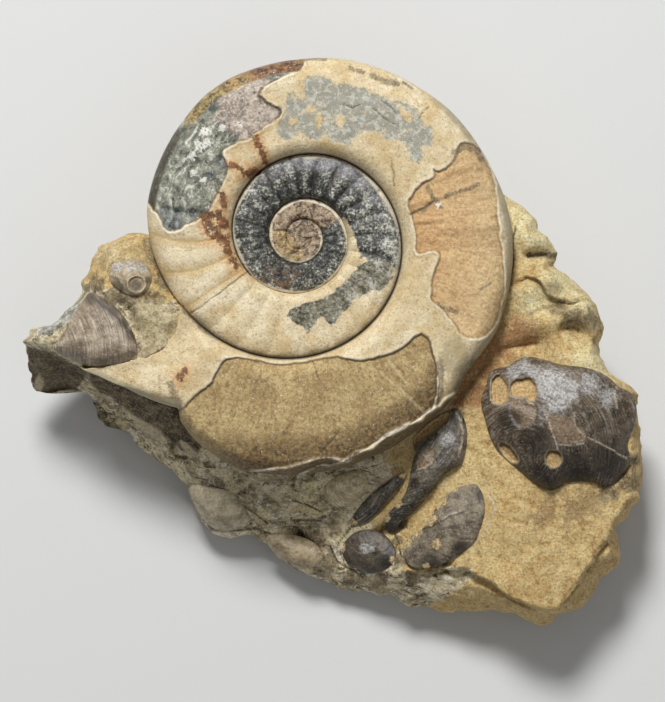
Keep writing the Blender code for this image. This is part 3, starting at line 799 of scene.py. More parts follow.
# %% ledges, grooves and hollows of the stone
LEDGES = [
    ([(513, 281), (527, 276), (541, 281), (547, 293), (556, 299), (573, 302), (584, 297)], 2.2, 14),
    ([(502, 348), (515, 344), (530, 341), (541, 342)], 0.8, 8),
    ([(523, 318), (536, 309), (549, 307), (560, 303)], 0.9, 7),
    ([(516, 213), (522, 226), (524, 246)], -0.7, 9),
    ([(562, 613), (566, 597), (578, 582), (594, 557), (604, 544), (618, 525), (625, 511)], 2.6, 16),
    ([(404, 573), (432, 569), (466, 568), (490, 582), (511, 597), (535, 607), (562, 613)], 3.4, 26),
    ([(131, 416), (146, 424), (160, 433), (171, 441)], 1.2, 9),
    ([(188, 472), (205, 480), (216, 488), (224, 483)], 1.0, 8),
    ([(233, 469), (252, 481), (271, 494), (282, 503)], 0.8, 8),
    ([(470, 548), (486, 536), (495, 515), (497, 495), (490, 482)], -0.5, 7),
    ([(262, 521), (282, 520), (297, 528), (313, 541), (325, 549)], 1.2, 10),
]
GROOVES = [
    ([(529, 255), (541, 254), (556, 256)], 2.0, 4.5),
    ([(564, 329), (573, 327), (583, 334), (588, 342)], 1.5, 5),
    ([(499, 352), (515, 346), (535, 342)], 1.0, 5),
    ([(509, 244), (513, 262), (510, 282)], 1.2, 4),
    ([(122, 303), (132, 315), (138, 330)], 1.6, 5),
    ([(148, 240), (158, 262), (168, 283), (174, 298)], 1.2, 8),
    ([(104, 417), (112, 412), (121, 407)], 1.2, 2.2),
    ([(108, 422), (117, 416), (124, 412)], 1.2, 2.2),
    ([(174, 438), (171, 450), (176, 456), (186, 457)], 1.8, 3.5),
    ([(100, 415), (112, 432), (130, 441)], 0.8, 5),
    ([(30, 352), (48, 356), (66, 365), (80, 372)], 2.4, 6),
    ([(410, 563), (430, 566), (447, 562)], 1.8, 5),
    ([(378, 534), (388, 528), (398, 524)], 2.0, 6),
    ([(350, 524), (365, 520), (376, 512), (392, 494), (404, 477)], 0.9, 4),
    ([(455, 398), (470, 380), (486, 362)], 1.0, 6),
    ([(604, 480), (620, 474), (634, 462)], 1.2, 5),
]
HOLLOWS = [
    (300, 535, 6, 2.6), (314, 553, 5, 1.8), (529, 291, 14, -0.9), (60, 378, 12, 2.0),
    (170, 322, 6, -0.4), (533, 494, 3, 0.5), (516, 522, 3, 0.5), (528, 545, 3, 0.5),
    (504, 532, 2, 0.5), (585, 508, 9, 0.6), (545, 500, 10, 0.5), (512, 560, 12, 0.5),
    (252, 505, 10, -0.5), (288, 500, 12, -0.7), (39, 384, 6, -1.6), (478, 556, 4, 0.6),
    (128, 250, 16, -0.8), (108, 254, 12, -0.7),
]
print("ledges:", len(LEDGES), "grooves:", len(GROOVES), "hollows:", len(HOLLOWS))

# %% [markdown]
# The height of the stone's face
#
# The spots of the face are joined by a thin-plate surface, the shape that a thin sheet of metal takes
# when it is held at a few points. A cage with Subdivision would do too, but its faces would have to
# be moved by hand until the surface ran through each spot.

# %% the stone's face
def thin_plate(spots):
    """Smooth surface through spots of (x, y, value)."""
    spots = np.array(spots, float)
    places, values = spots[:, :2] / 100, spots[:, 2]

    def bend(squares):
        return squares * np.log(np.maximum(squares, 1e-12))

    count = len(spots)
    square = ((places[:, None] - places[None]) ** 2).sum(2)
    flat = np.hstack([np.ones((count, 1)), places])
    system = np.zeros((count + 3, count + 3))
    system[:count, :count] = bend(square)
    system[:count, count:] = flat
    system[count:, :count] = flat.T
    weights = np.linalg.solve(system, np.append(values, [0, 0, 0]))

    def surface(x, y):
        total = weights[count] + x / 100 * weights[count + 1] + y / 100 * weights[count + 2]
        for (spot_x, spot_y), weight in zip(places, weights):
            total = total + weight * bend((x / 100 - spot_x) ** 2 + (y / 100 - spot_y) ** 2)
        return total

    return surface


stone_face = thin_plate(STONE_SPOTS)
print("height at the plateau, mm:", round(float(stone_face(520.0, 520.0)), 1))

# %% [markdown]
# Adding the steps and dents
#
# Ledges and hollows come on top of the smooth surface. Where the coil lies on the stone, the face
# goes down to the coil's underside, so that the coil sits in its own bed. Both are sums of heights,
# and so no boolean is needed.

# %% the stone's face with its steps and dents
def ledge_drop(x, y, line, drop, reach):
    """Step down on a ledge's right-hand side, or its left where the drop is negative."""
    off, share = beside(x + 1.5 * rough(x, y, 9, 83), y + 1.5 * rough(x, y, 9, 87), line)
    off = off * (1 if drop > 0 else -1)
    fade = np.sqrt(np.clip(np.sin(share * math.pi), 0, 1))
    return abs(drop) / 1000 * fade * soft(off / 1.6 + 0.3) * np.exp(-np.clip(off, 0, 999) / reach)


def stone_base(x, y):
    """Height of the stone's face before its ledges and grooves."""
    return stone_face(x, y) / 1000 + 0.0004 * rough(x, y, 28, 61)


def stone_height(x, y):
    """Height of the stone's face away from its edge."""
    height = stone_base(x, y) + 0.00012 * rough(x, y, 9, 65)
    for line, drop, reach in LEDGES:
        height = height - ledge_drop(x, y, line, drop, reach)
    for line, depth, width in GROOVES:
        gap = distance_to(x + 2 * rough(x, y, 8, 89), y, line)
        height = height - depth / 1000 * np.exp(-((gap / width) ** 2))
    for hollow_x, hollow_y, size, depth in HOLLOWS:
        gap = np.hypot(x - hollow_x, y - hollow_y) / size
        height = height - depth / 1000 * np.exp(-(gap**2))
    return height


def coil_underside(x, y):
    """Height of the coil's underside, very high outside the coil."""
    dx, dy = x - COIL_CENTRE[0], y - COIL_CENTRE[1]
    turn = np.arctan2(dy, dx) / math.tau % 1 + 2
    turn = np.where(turn < FREE_RIM_TURN, turn + 1, turn)
    inward = (outer_radius(turn) - np.hypot(dx, dy)) / RIM_INSET
    under = MID_HEIGHT - BACK_DEPTH * rounded(inward)
    under_coil = (inward > -0.02) & (turn < LAST_TURN - 0.02)
    return np.where(under_coil, under - 0.0003, 1.0)


print("stone height at the plateau, mm:", round(float(stone_base(520.0, 520.0)) * 1000, 1))

# %% [markdown]
# A closed ball
#
# A sphere from bmesh is already closed, top and bottom. Reading each point's ring and segment lets
# one function give the ball any outline and any height, for the stone and for each small shell.

# %% a closed ball and its outline
def closed_ball(name, segments, rings):
    """A sphere and its points' segment and ring numbers, counted clockwise and from the top."""
    bm = bmesh.new()
    bmesh.ops.create_uvsphere(bm, u_segments=segments, v_segments=rings, radius=1)
    mesh = bpy.data.meshes.new(name)
    bm.to_mesh(mesh)
    bm.free()
    places = np.empty(len(mesh.vertices) * 3, np.float32)
    mesh.vertices.foreach_get("co", places)
    places = places.reshape(-1, 3)
    angle = np.arctan2(-places[:, 1], places[:, 0])
    segment = np.rint(angle / math.tau * segments).astype(int) % segments
    ring = np.rint(np.arccos(np.clip(places[:, 2], -1, 1)) / math.pi * rings)
    thing = bpy.data.objects.new(name, mesh)
    bpy.context.scene.collection.objects.link(thing)
    return thing, segment, ring


def clockwise(outline, centre):
    """Outline turned so that it starts at the right of its centre and runs clockwise."""
    angles = np.arctan2(outline[:, 1] - centre[1], outline[:, 0] - centre[0])
    if np.diff(np.unwrap(angles)).sum() < 0:
        outline, angles = outline[::-1], angles[::-1]
    return np.roll(outline, -int(np.argmin(np.abs(angles))), axis=0)


print("a square, clockwise from its right:", clockwise(np.array(square), (5, 5)).tolist())

# %% [markdown]
# Where the stone changes
#
# The stone is ochre on its smooth right side, reddish beside the large coil and grey-brown with
# crushed shell at the lower left. Crevices and the cave under the left tip get painted shade, nearly
# black. Each of these is kept as a number from 0 to 1 on every point, and the stone's finish mixes
# its colours by them.

# %% zones of the stone
SHELLY_ZONE = [
    (20, 330), (84, 278), (108, 290), (150, 298), (184, 306), (186, 330), (160, 358), (140, 368),
    (90, 362), (150, 388), (198, 418), (240, 446), (300, 455),
    (345, 462), (370, 450), (402, 470), (360, 520), (400, 545), (404, 575), (470, 566), (480, 580),
    (400, 620), (200, 620), (10, 420),
]
DARK_SLOPE = [
    (84, 362), (100, 366), (127, 378), (155, 390), (186, 398), (200, 430), (204, 452), (186, 454),
    (170, 440), (146, 424), (128, 412), (112, 398), (94, 390),
]
# The cave is the undercut below the left tip; it is painted dark as painted shade.
CAVE = [
    (26, 348), (50, 354), (77, 365), (86, 376), (80, 388), (66, 388), (46, 394), (34, 394), (27, 366),
]
PALE_WEDGES = [
    [(128, 413), (146, 422), (164, 433), (161, 443), (148, 436), (136, 424)],
    [(206, 473), (213, 475), (216, 482), (209, 480)],
    [(38, 372), (44, 380), (42, 392), (35, 395), (33, 388)],
    [(178, 438), (188, 444), (200, 455), (193, 457), (182, 449)],
]
LENS = [
    (129, 304), (148, 303), (164, 306), (179, 313), (181, 324), (175, 337), (157, 351), (141, 361),
    (141, 345), (134, 328),
]
BUMP_CAP = [
    (93, 262), (98, 250), (112, 242), (128, 239), (141, 244), (146, 262), (118, 266), (104, 272),
]
CRYSTAL_EDGE = [
    (33, 328), (51, 325), (66, 312), (76, 302), (84, 296), (80, 308), (68, 322), (52, 334),
    (36, 334),
]
print("points round the crushed shell:", len(SHELLY_ZONE))

# %% [markdown]
# Stains and lines of the stone
#
# Stains and painted light have no sharp edge, so each is a round spot. Pale lines are the edges of
# thin shells seen from the side, and dark lines are cracks and gaps between pieces of shell.

# %% stains and lines of the stone
RED_SPOTS = [(470, 392, 26), (498, 345, 24), (480, 366, 26), (520, 332, 22), (487, 355, 18)]
BROWN_STAINS = [(576, 508, 20), (590, 500, 18), (548, 508, 14), (536, 520, 12), (606, 470, 14)]
# The spots at the right are painted light, which brightens the stone's right side; the small ones are pale
# patches in the crushed shell.
LIT_AND_PALE_SPOTS = [
    (526, 222, 30), (540, 240, 24), (560, 285, 26), (580, 310, 22), (535, 300, 20), (590, 365, 26),
    (304, 501, 11), (318, 510, 8), (262, 514, 8), (340, 536, 8), (122, 424, 6), (312, 486, 7),
]
GREY_SPOTS = [
    (158, 258, 14), (150, 244, 9), (165, 280, 13), (150, 296, 10), (120, 292, 12), (96, 284, 9),
    (158, 300, 8), (135, 300, 8), (112, 300, 8), (572, 318, 14), (590, 322, 12), (560, 308, 10),
    (625, 480, 14), (610, 492, 12), (630, 462, 10), (318, 540, 9), (336, 528, 8), (350, 580, 9),
    (402, 560, 8), (398, 540, 6), (380, 580, 9), (412, 576, 8), (330, 562, 9), (404, 524, 5),
]
PALE_LINES = [
    [(488, 489), (495, 506), (488, 527), (470, 548)], [(233, 469), (255, 484), (276, 498)],
    [(495, 198), (500, 233), (504, 265), (506, 284)],
    [(191, 470), (203, 474), (214, 480)], [(209, 477), (213, 481)], [(260, 488), (283, 505)],
    [(297, 541), (311, 547), (324, 552)], [(300, 489), (306, 493)], [(333, 517), (346, 523)],
    [(196, 516), (204, 524), (203, 535)], [(345, 479), (355, 475), (364, 478), (367, 484)],
]
DARK_LINES = [
    [(181, 322), (177, 335), (168, 345), (158, 351), (146, 358), (137, 363), (124, 368), (110, 371)],
    [(516, 226), (512, 246), (513, 262), (510, 280)],
    [(222, 490), (240, 503), (256, 514), (268, 524)], [(292, 500), (308, 505), (322, 512)],
    [(212, 528), (236, 530), (258, 528), (280, 538)], [(330, 546), (338, 562), (352, 570)],
    [(276, 524), (290, 520), (312, 520), (326, 516)], [(356, 521), (346, 533), (338, 543)],
    [(340, 550), (346, 566), (362, 577)], [(394, 532), (399, 544), (401, 558)],
]

STAIN_AND_LIGHT_SPOTS = {"red": RED_SPOTS, "stain": BROWN_STAINS, "fair": LIT_AND_PALE_SPOTS, "grey": GREY_SPOTS}
print("spots on the stone:", {name: len(spots) for name, spots in STAIN_AND_LIGHT_SPOTS.items()})

# %% [markdown]
# Reading the zones
#
# The same grooves and hollows that shape the stone also get painted shade, darker where they are
# deeper. One function gives every zone at every point, and the mesh keeps the numbers.

# %% reading the zones
def stone_zones(x, y):
    """Share of each kind of stone at every point."""
    wide = ragged(x, y, SHELLY_ZONE, 91, 14.0, 6.0)
    zones = {"shelly": soft(wide / 12 + 0.5)}
    dark = soft(ragged(x, y, DARK_SLOPE, 93, 8.0, 2.0) / 4 + 0.5)
    cave = soft(ragged(x, y, CAVE, 95, 8.0, 2.0) / 4 + 0.5)
    crevice = np.zeros(np.shape(x))
    for line, depth, width in GROOVES:
        gap = distance_to(x + 2 * rough(x, y, 8, 89), y, line)
        crevice = np.maximum(crevice, min(max(depth - 0.9, 0) / 1.4, 1) * np.exp(-((gap / width) ** 2)))
    for hollow_x, hollow_y, size, depth in HOLLOWS:
        gap = np.hypot(x - hollow_x, y - hollow_y) / size
        crevice = np.maximum(crevice, np.clip(depth / 2, 0, 1) * np.exp(-(gap**2)))
    zones["slope"] = dark
    zones["crevice"] = np.maximum.reduce([crevice, cave, line_mask(x, y, DARK_LINES, 1.3)])
    pale = [soft(ragged(x, y, wedge, 97, 6.0, 1.0) / 2 + 0.5) for wedge in PALE_WEDGES]
    zones["pale"] = np.maximum.reduce(pale + [line_mask(x, y, PALE_LINES, 1.3)])
    zones["lens"] = soft(ragged(x, y, LENS, 99, 8.0, 1.5) / 2 + 0.5)
    zones["cap"] = soft(ragged(x, y, BUMP_CAP, 101, 8.0, 1.5) / 4 + 0.5)
    zones["crystal"] = soft(ragged(x, y, CRYSTAL_EDGE, 103, 8.0, 1.5) / 3 + 0.5)
    for name, spots in STAIN_AND_LIGHT_SPOTS.items():
        zones[name] = spotted(x, y, spots)
    return zones


kinds = stone_zones(np.array([300.0]), np.array([500.0]))
print("kinds of stone:", sorted(kinds))

# %% [markdown]
# The block of stone
#
# The top rings follow the face, with crushed relief where the stone is full of shell. The low rings
# go down the wall, chipped and a little uneven, and close on the flat spot underneath.

# %% the block of stone
STONE_SEGMENTS, STONE_TOP_RINGS, STONE_LOW_RINGS = 700, 106, 24


def make_stone():
    rings = STONE_TOP_RINGS + STONE_LOW_RINGS
    thing, segment, ring = closed_ball("stone", STONE_SEGMENTS, rings)
    edge = clockwise(evenly(STONE_EDGE, STONE_SEGMENTS), STONE_CENTRE)[segment]
    rings_down = soft((ring - 70) / 40)
    chips = rough(segment * 2.6, ring * 5, 22, 75) + 0.7 * rough(segment * 2.6, ring * 5, 9, 73)
    ragged_edge = 1 + 0.006 * rough(edge[:, 0], edge[:, 1], 16, 67) + 0.012 * chips * rings_down
    edge_x = STONE_CENTRE[0] + (edge[:, 0] - STONE_CENTRE[0]) * ragged_edge
    edge_y = STONE_CENTRE[1] + (edge[:, 1] - STONE_CENTRE[1]) * ragged_edge
    low, wall = edge[:, 2] / 1000, edge[:, 3]
    share = np.clip(ring / STONE_TOP_RINGS, 0, 1) ** 0.6
    x = STONE_CENTRE[0] + (edge_x - STONE_CENTRE[0]) * share
    y = STONE_CENTRE[1] + (edge_y - STONE_CENTRE[1]) * share
    from_edge = np.hypot(edge_x - x, edge_y - y)
    rise = np.clip(from_edge / wall, 0, 1) ** 0.6
    zones = stone_zones(x, y)
    broken = 0.0008 * np.minimum(rough(x, y, 24, 61), 0.25) + 0.0003 * rough(x, y, 7, 69)
    crushed = broken * zones["shelly"] * (1 - zones["lens"])
    top = low + (stone_height(x, y) + crushed - low) * rise
    top = np.minimum(top, coil_underside(x, y))
    places = lay(x, y, top)
    foot = lay(edge_x, edge_y, low)
    below = np.clip((ring - STONE_TOP_RINGS) / STONE_LOW_RINGS, 0, 1)
    size = 1 - (1 - BASE_SHARE) * np.clip(below / 0.6, 0, 1) ** 1.4
    size = np.where(below > 0.6, BASE_SHARE * (1 - (below - 0.6) / 0.4), size)
    drop = np.clip(1 - below / 0.6, 0, 1) ** 1.2
    under = np.stack([BASE_CENTRE[0] + (foot[:, 0] - BASE_CENTRE[0]) * size,
                      BASE_CENTRE[1] + (foot[:, 1] - BASE_CENTRE[1]) * size,
                      foot[:, 2] * drop], axis=-1)
    places = np.where((ring > STONE_TOP_RINGS)[:, None], under, places)
    place_points(thing, places)
    keep_values(thing, **zones)
    return thing


stone = make_stone()
print("faces of the stone:", len(stone.data.polygons))

# %% [markdown]
# The small shells
#
# Ten shells lie in the stone. Each is a low dome from a sphere: its rings become copies of the
# shell's outline, which rise to the middle and close again below, inside the stone. Real shells grow
# at their edge, round a point called the umbo, so the distance from the umbo is kept on every
# point. The finish draws growth lines with it. Holes, flaked scars and knobs are added to the
# height.

# %% outlines and sizes of the small shells
SHELLS = {
    "large_bivalve": {
        "outline": [
            (488, 376), (490, 371), (496, 368), (509, 366), (519, 358), (530, 356), (544, 359),
            (563, 365), (580, 366), (597, 370), (611, 378), (617, 386), (632, 392), (636, 402),
            (637, 412), (635, 424), (629, 438), (627, 446), (631, 456), (627, 468), (617, 480),
            (607, 488), (594, 482), (580, 481), (566, 482), (559, 488), (551, 491), (541, 488),
            (531, 481), (519, 470), (507, 460), (496, 449), (489, 435), (485, 420), (481, 406),
            (481, 396), (486, 386)],
        "centre": (558, 424), "dome": 4.6, "depth": 1.2, "umbo": (520, 452), "detail": (260, 84)},
    "long_bivalve": {
        "outline": [
            (458, 407), (464, 417), (467, 428), (467, 440), (465, 454), (462, 465), (448, 471),
            (441, 479), (435, 487), (426, 499), (414, 512), (404, 519), (399, 523), (393, 536),
            (382, 520), (391, 510), (405, 495), (409, 482), (411, 468),
            (416, 450), (411, 440), (424, 426), (440, 414), (451, 409)],
        "centre": (433, 468), "dome": 2.6, "depth": 1.0, "umbo": (395, 420), "detail": (200, 40)},
    "shell_strip": {
        "outline": [
            (408, 470), (403, 482), (394, 492), (382, 507), (371, 519), (361, 524), (348, 526),
            (356, 510), (373, 492), (390, 479)],
        "centre": (374, 501), "dome": 0.9, "depth": 0.8, "umbo": (330, 470), "detail": (120, 20)},
    "round_bivalve": {
        "outline": [
            (341, 546), (352, 533), (367, 528), (384, 533), (394, 544), (397, 556), (388, 569),
            (370, 575), (352, 569), (343, 558)],
        "centre": (368, 551), "dome": 1.5, "depth": 1.0, "umbo": (372, 530), "detail": (120, 36)},
    "grey_bivalve": {
        "outline": [
            (464, 485), (477, 483), (484, 496), (485, 511), (480, 528), (474, 542), (462, 553),
            (447, 562), (431, 568), (411, 568), (404, 557), (401, 545), (411, 535), (427, 526),
            (433, 511), (443, 499), (455, 488)],
        "centre": (448, 530), "dome": 1.2, "depth": 1.0, "umbo": (470, 490), "detail": (200, 50)},
    "ribbed_shell": {
        "outline": [
            (90, 290), (104, 298), (119, 309), (128, 322), (136, 338), (138, 352), (133, 358),
            (118, 366), (98, 367), (80, 364), (57, 353), (52, 346), (62, 336), (72, 316), (83, 300)],
        "centre": (100, 334), "dome": 2.6, "depth": 1.2, "umbo": (26, 352), "detail": (200, 56)},
    "ringed_shell": {
        "outline": [
            (110, 264), (120, 259), (134, 257), (146, 262), (152, 272), (151, 284), (144, 293),
            (134, 296), (120, 292), (108, 280)],
        "centre": (132, 277), "dome": 1.2, "depth": 0.9, "umbo": (136.5, 284), "detail": (140, 40)},
    "pale_bivalve": {
        "outline": [
            (187, 486), (198, 484), (212, 487), (230, 490), (246, 506), (252, 520), (240, 530),
            (216, 531), (203, 520), (194, 503)],
        "centre": (220, 510), "dome": 1.8, "depth": 0.8, "umbo": (226, 502), "detail": (140, 40)},
    "bulging_shell": {
        "outline": [
            (264, 536), (276, 533), (290, 533), (306, 538), (320, 546), (326, 557), (314, 568),
            (298, 567), (282, 558), (270, 549)],
        "centre": (297, 551), "dome": 1.6, "depth": 0.8, "umbo": (290, 530), "detail": (140, 36)},
    "swirled_shell": {
        "outline": [
            (324, 488), (332, 478), (345, 472), (358, 470), (369, 476), (368, 490), (354, 504),
            (337, 508), (325, 500)],
        "centre": (347, 489), "dome": 1.4, "depth": 0.8, "umbo": (357, 482), "detail": (140, 36)},
}
print("small shells to make:", len(SHELLS))

# %% [markdown]
# Damage on the small shells
#
# Stone shows through holes in the shells, and in other places only the top layer has flaked. Cracks
# are pale, seams are dark. Bright spots are painted reflections, where the gloss would catch the
# lamp. All of them are places on the face, so a mark reaches over any shell that lies there.

# %% holes, scars and marks on the small shells
SHELL_HOLES = [
    [(493, 376), (500, 374), (507, 382), (510, 392), (508, 401), (500, 404), (492, 402), (491, 388)],
    [(511, 383), (516, 379), (523, 378), (531, 377), (537, 385), (536, 399), (529, 402), (526, 396),
     (513, 397), (510, 392)],
    [(546, 452), (554, 449), (562, 454), (561, 464), (552, 468), (545, 461)],
    [(499, 441), (508, 444), (517, 455), (519, 463), (510, 462), (502, 453)],
    [(406, 440), (424, 422), (444, 409), (451, 410), (449, 420), (436, 430), (426, 437), (414, 446)],
]
SHELL_SCARS = [
    [(545, 414), (556, 442), (584, 442), (586, 435), (582, 427), (574, 422), (561, 413)],
    [(511, 398), (525, 397), (537, 404), (538, 415), (528, 428), (518, 428), (508, 412)],
    [(416, 463), (420, 452), (432, 447), (436, 456), (430, 466), (418, 470)],
]
SHELL_SEAMS = [
    [(91, 296), (108, 308), (124, 323), (133, 336), (139, 351)], [(97, 300), (118, 318), (128, 332)],
    [(416, 531), (432, 526), (448, 517), (462, 512)], [(484, 488), (477, 494), (480, 502)],
]
SHELL_CRACKS = [
    [(588, 437), (600, 443), (613, 450), (629, 460)], [(556, 444), (570, 445), (584, 443)],
    [(545, 414), (551, 428), (556, 442), (558, 452)], [(440, 521), (450, 514), (462, 510)],
    [(416, 470), (425, 467), (433, 462)], [(438, 432), (448, 423), (451, 412)],
    [(574, 412), (574, 424), (584, 436)], [(617, 386), (614, 396), (618, 408)],
    [(456, 412), (461, 420), (463, 430), (462, 445), (459, 457)],
    [(455, 413), (460, 421), (462, 431), (461, 445), (458, 456)],
    [(128, 279), (136, 275), (144, 277), (146, 285), (139, 294), (131, 293), (127, 286), (128, 279)],
    [(93, 285), (99, 290), (107, 294), (115, 295)],
]
GLINTS = [
    (514, 370, 9), (524, 366, 9), (534, 372, 9), (548, 384, 20), (566, 390, 18), (590, 384, 14),
    (606, 396, 12), (556, 404, 14), (366, 548, 8), (448, 440, 9), (424, 458, 6), (118, 267, 7),
    (130, 266, 7), (142, 268, 6),
]
SHELL_SHADES = [
    (104, 302, 10), (114, 310, 9), (124, 322, 8), (131, 334, 7), (92, 298, 8), (389, 528, 9),
    (578, 470, 24), (545, 476, 18), (606, 460, 22), (536, 440, 18), (510, 420, 14), (484, 494, 8),
    (460, 548, 9), (430, 562, 10), (388, 560, 10), (136, 285, 7), (118, 286, 9), (148, 280, 5),
]
GRIT_SPOTS = [
    (405, 540, 9), (415, 530, 8), (430, 518, 8), (440, 502, 8), (454, 488, 5), (436, 544, 6),
    (426, 566, 5), (340, 548, 7), (352, 572, 6), (394, 560, 5), (352, 524, 7), (372, 492, 4),
    (404, 474, 6), (398, 504, 5), (386, 518, 5), (412, 452, 5),
]
SHELL_KNOBS = [(549, 482, 12, 0.9), (520, 368, 14, 0.6), (598, 470, 16, 0.5), (445, 522, 16, 0.4)]
print("holes:", len(SHELL_HOLES), "scars:", len(SHELL_SCARS), "cracks:", len(SHELL_CRACKS))

# %% [markdown]
# A small shell
#
# Each valve is a shallow dome on the stone, with growth lines round its umbo, the point it grew from.
# A dome alone looks like a pebble, so holes, scars, knobs and round rims are pressed into the top.

# %% making a small shell
SHELL_EDGE_LIFT = 0.0003


def shell_marks(x, y):
    """Depth inside holes and scars, the shade in the holes and a mask for pale cracks."""
    hole = np.maximum.reduce([ragged(x, y, line, 110, 5.0, 1.0) for line in SHELL_HOLES])
    scar = np.maximum.reduce([ragged(x, y, line, 113, 5.0, 1.0) for line in SHELL_SCARS])
    above = np.maximum.reduce([ragged(x, y - 3.5, line, 110, 5.0, 1.0) for line in SHELL_HOLES])
    shadow = soft(hole / 1.2 + 0.5) * soft(0.5 - above / 2)
    return hole, scar, shadow, line_mask(x, y, SHELL_CRACKS, 0.7)


def ring_relief(x, y):
    """Round rims on the ringed shell and the swirled one."""
    ring = np.exp(-(((np.hypot(x - 136.5, (y - 284) * 1.05) - 9) / 1.6) ** 2))
    small = np.exp(-(((np.hypot(x - 112, (y - 285) * 0.9) - 9) / 1.6) ** 2))
    swirl = np.exp(-(((np.hypot(x - 357, (y - 482) * 1.4) - 6) / 1.3) ** 2))
    return 0.0005 * ring + 0.0003 * small + 0.0003 * swirl


def make_shell(name, outline, centre, dome, depth, umbo, detail):
    segments, rings = detail
    top_rings = round(rings * 0.8)
    thing, segment, ring = closed_ball(name + "_surface", segments, rings)
    edge = clockwise(evenly(cut_corners(outline, rounds=2), segments), centre)[segment]
    upper = np.sin(np.clip(ring / top_rings, 0, 1) * math.pi / 2)
    lower = 1 - (ring - top_rings) / (rings - top_rings)
    share = np.where(ring <= top_rings, upper, lower)
    round_top = dome / 1000 * (1 - share**2) ** 0.75
    bulge = np.where(ring <= top_rings, round_top, -depth / 1000 * np.sqrt(1 - share**2))
    x = centre[0] + (edge[:, 0] - centre[0]) * share
    y = centre[1] + (edge[:, 1] - centre[1]) * share
    hole, scar, shadow, crack = shell_marks(x, y)
    growth = np.hypot(x - umbo[0], y - umbo[1])
    sweep = np.arctan2(y - umbo[1], x - umbo[0]) * 60
    relief = 0.00014 * rough(x, y, 16, 117) + 0.00005 * wobble(growth, sweep / 12, 1.6, 119)
    relief = relief - 0.0009 * soft(hole / 1.5 + 0.5) - 0.00018 * soft(scar / 1.2 + 0.5)
    relief = relief + 0.00008 * crack + ring_relief(x, y)
    for knob_x, knob_y, size, rise in SHELL_KNOBS:
        relief = relief + rise / 1000 * np.exp(-((np.hypot(x - knob_x, y - knob_y) / size) ** 2))
    on_top = np.where(ring <= top_rings, soft((1 - share) / 0.08), 0)
    rest = stone_base(x, y) + SHELL_EDGE_LIFT
    place_points(thing, lay(x, y, rest + bulge + relief * on_top))
    # low rises towards each shell's lower side; the finish paints shade by it.
    keep_values(thing, growth=growth, sweep=sweep, hole=hole, scar=scar, shadow=shadow, crack=crack,
                seam=line_mask(x, y, SHELL_SEAMS, 1.2), low=soft((y - centre[1]) / 50 + 0.1),
                glint=spotted(x, y, GLINTS), shade=spotted(x, y, SHELL_SHADES),
                grit=spotted(x, y, GRIT_SPOTS))
    return thing


small_shells = {name: make_shell(name, **shape) for name, shape in SHELLS.items()}
print("small shells:", {name: len(thing.data.polygons) for name, thing in small_shells.items()})

# %% [markdown]
# Finishes
#
# A finish is a small tree of nodes. Most of them mix two colours by a mask: a noise, a value that
# was kept on the mesh, or both added together, so that the edge of a patch is as ragged as real
# flaked shell. Positions are read in millimetres, which makes the size of a grain easy to judge.

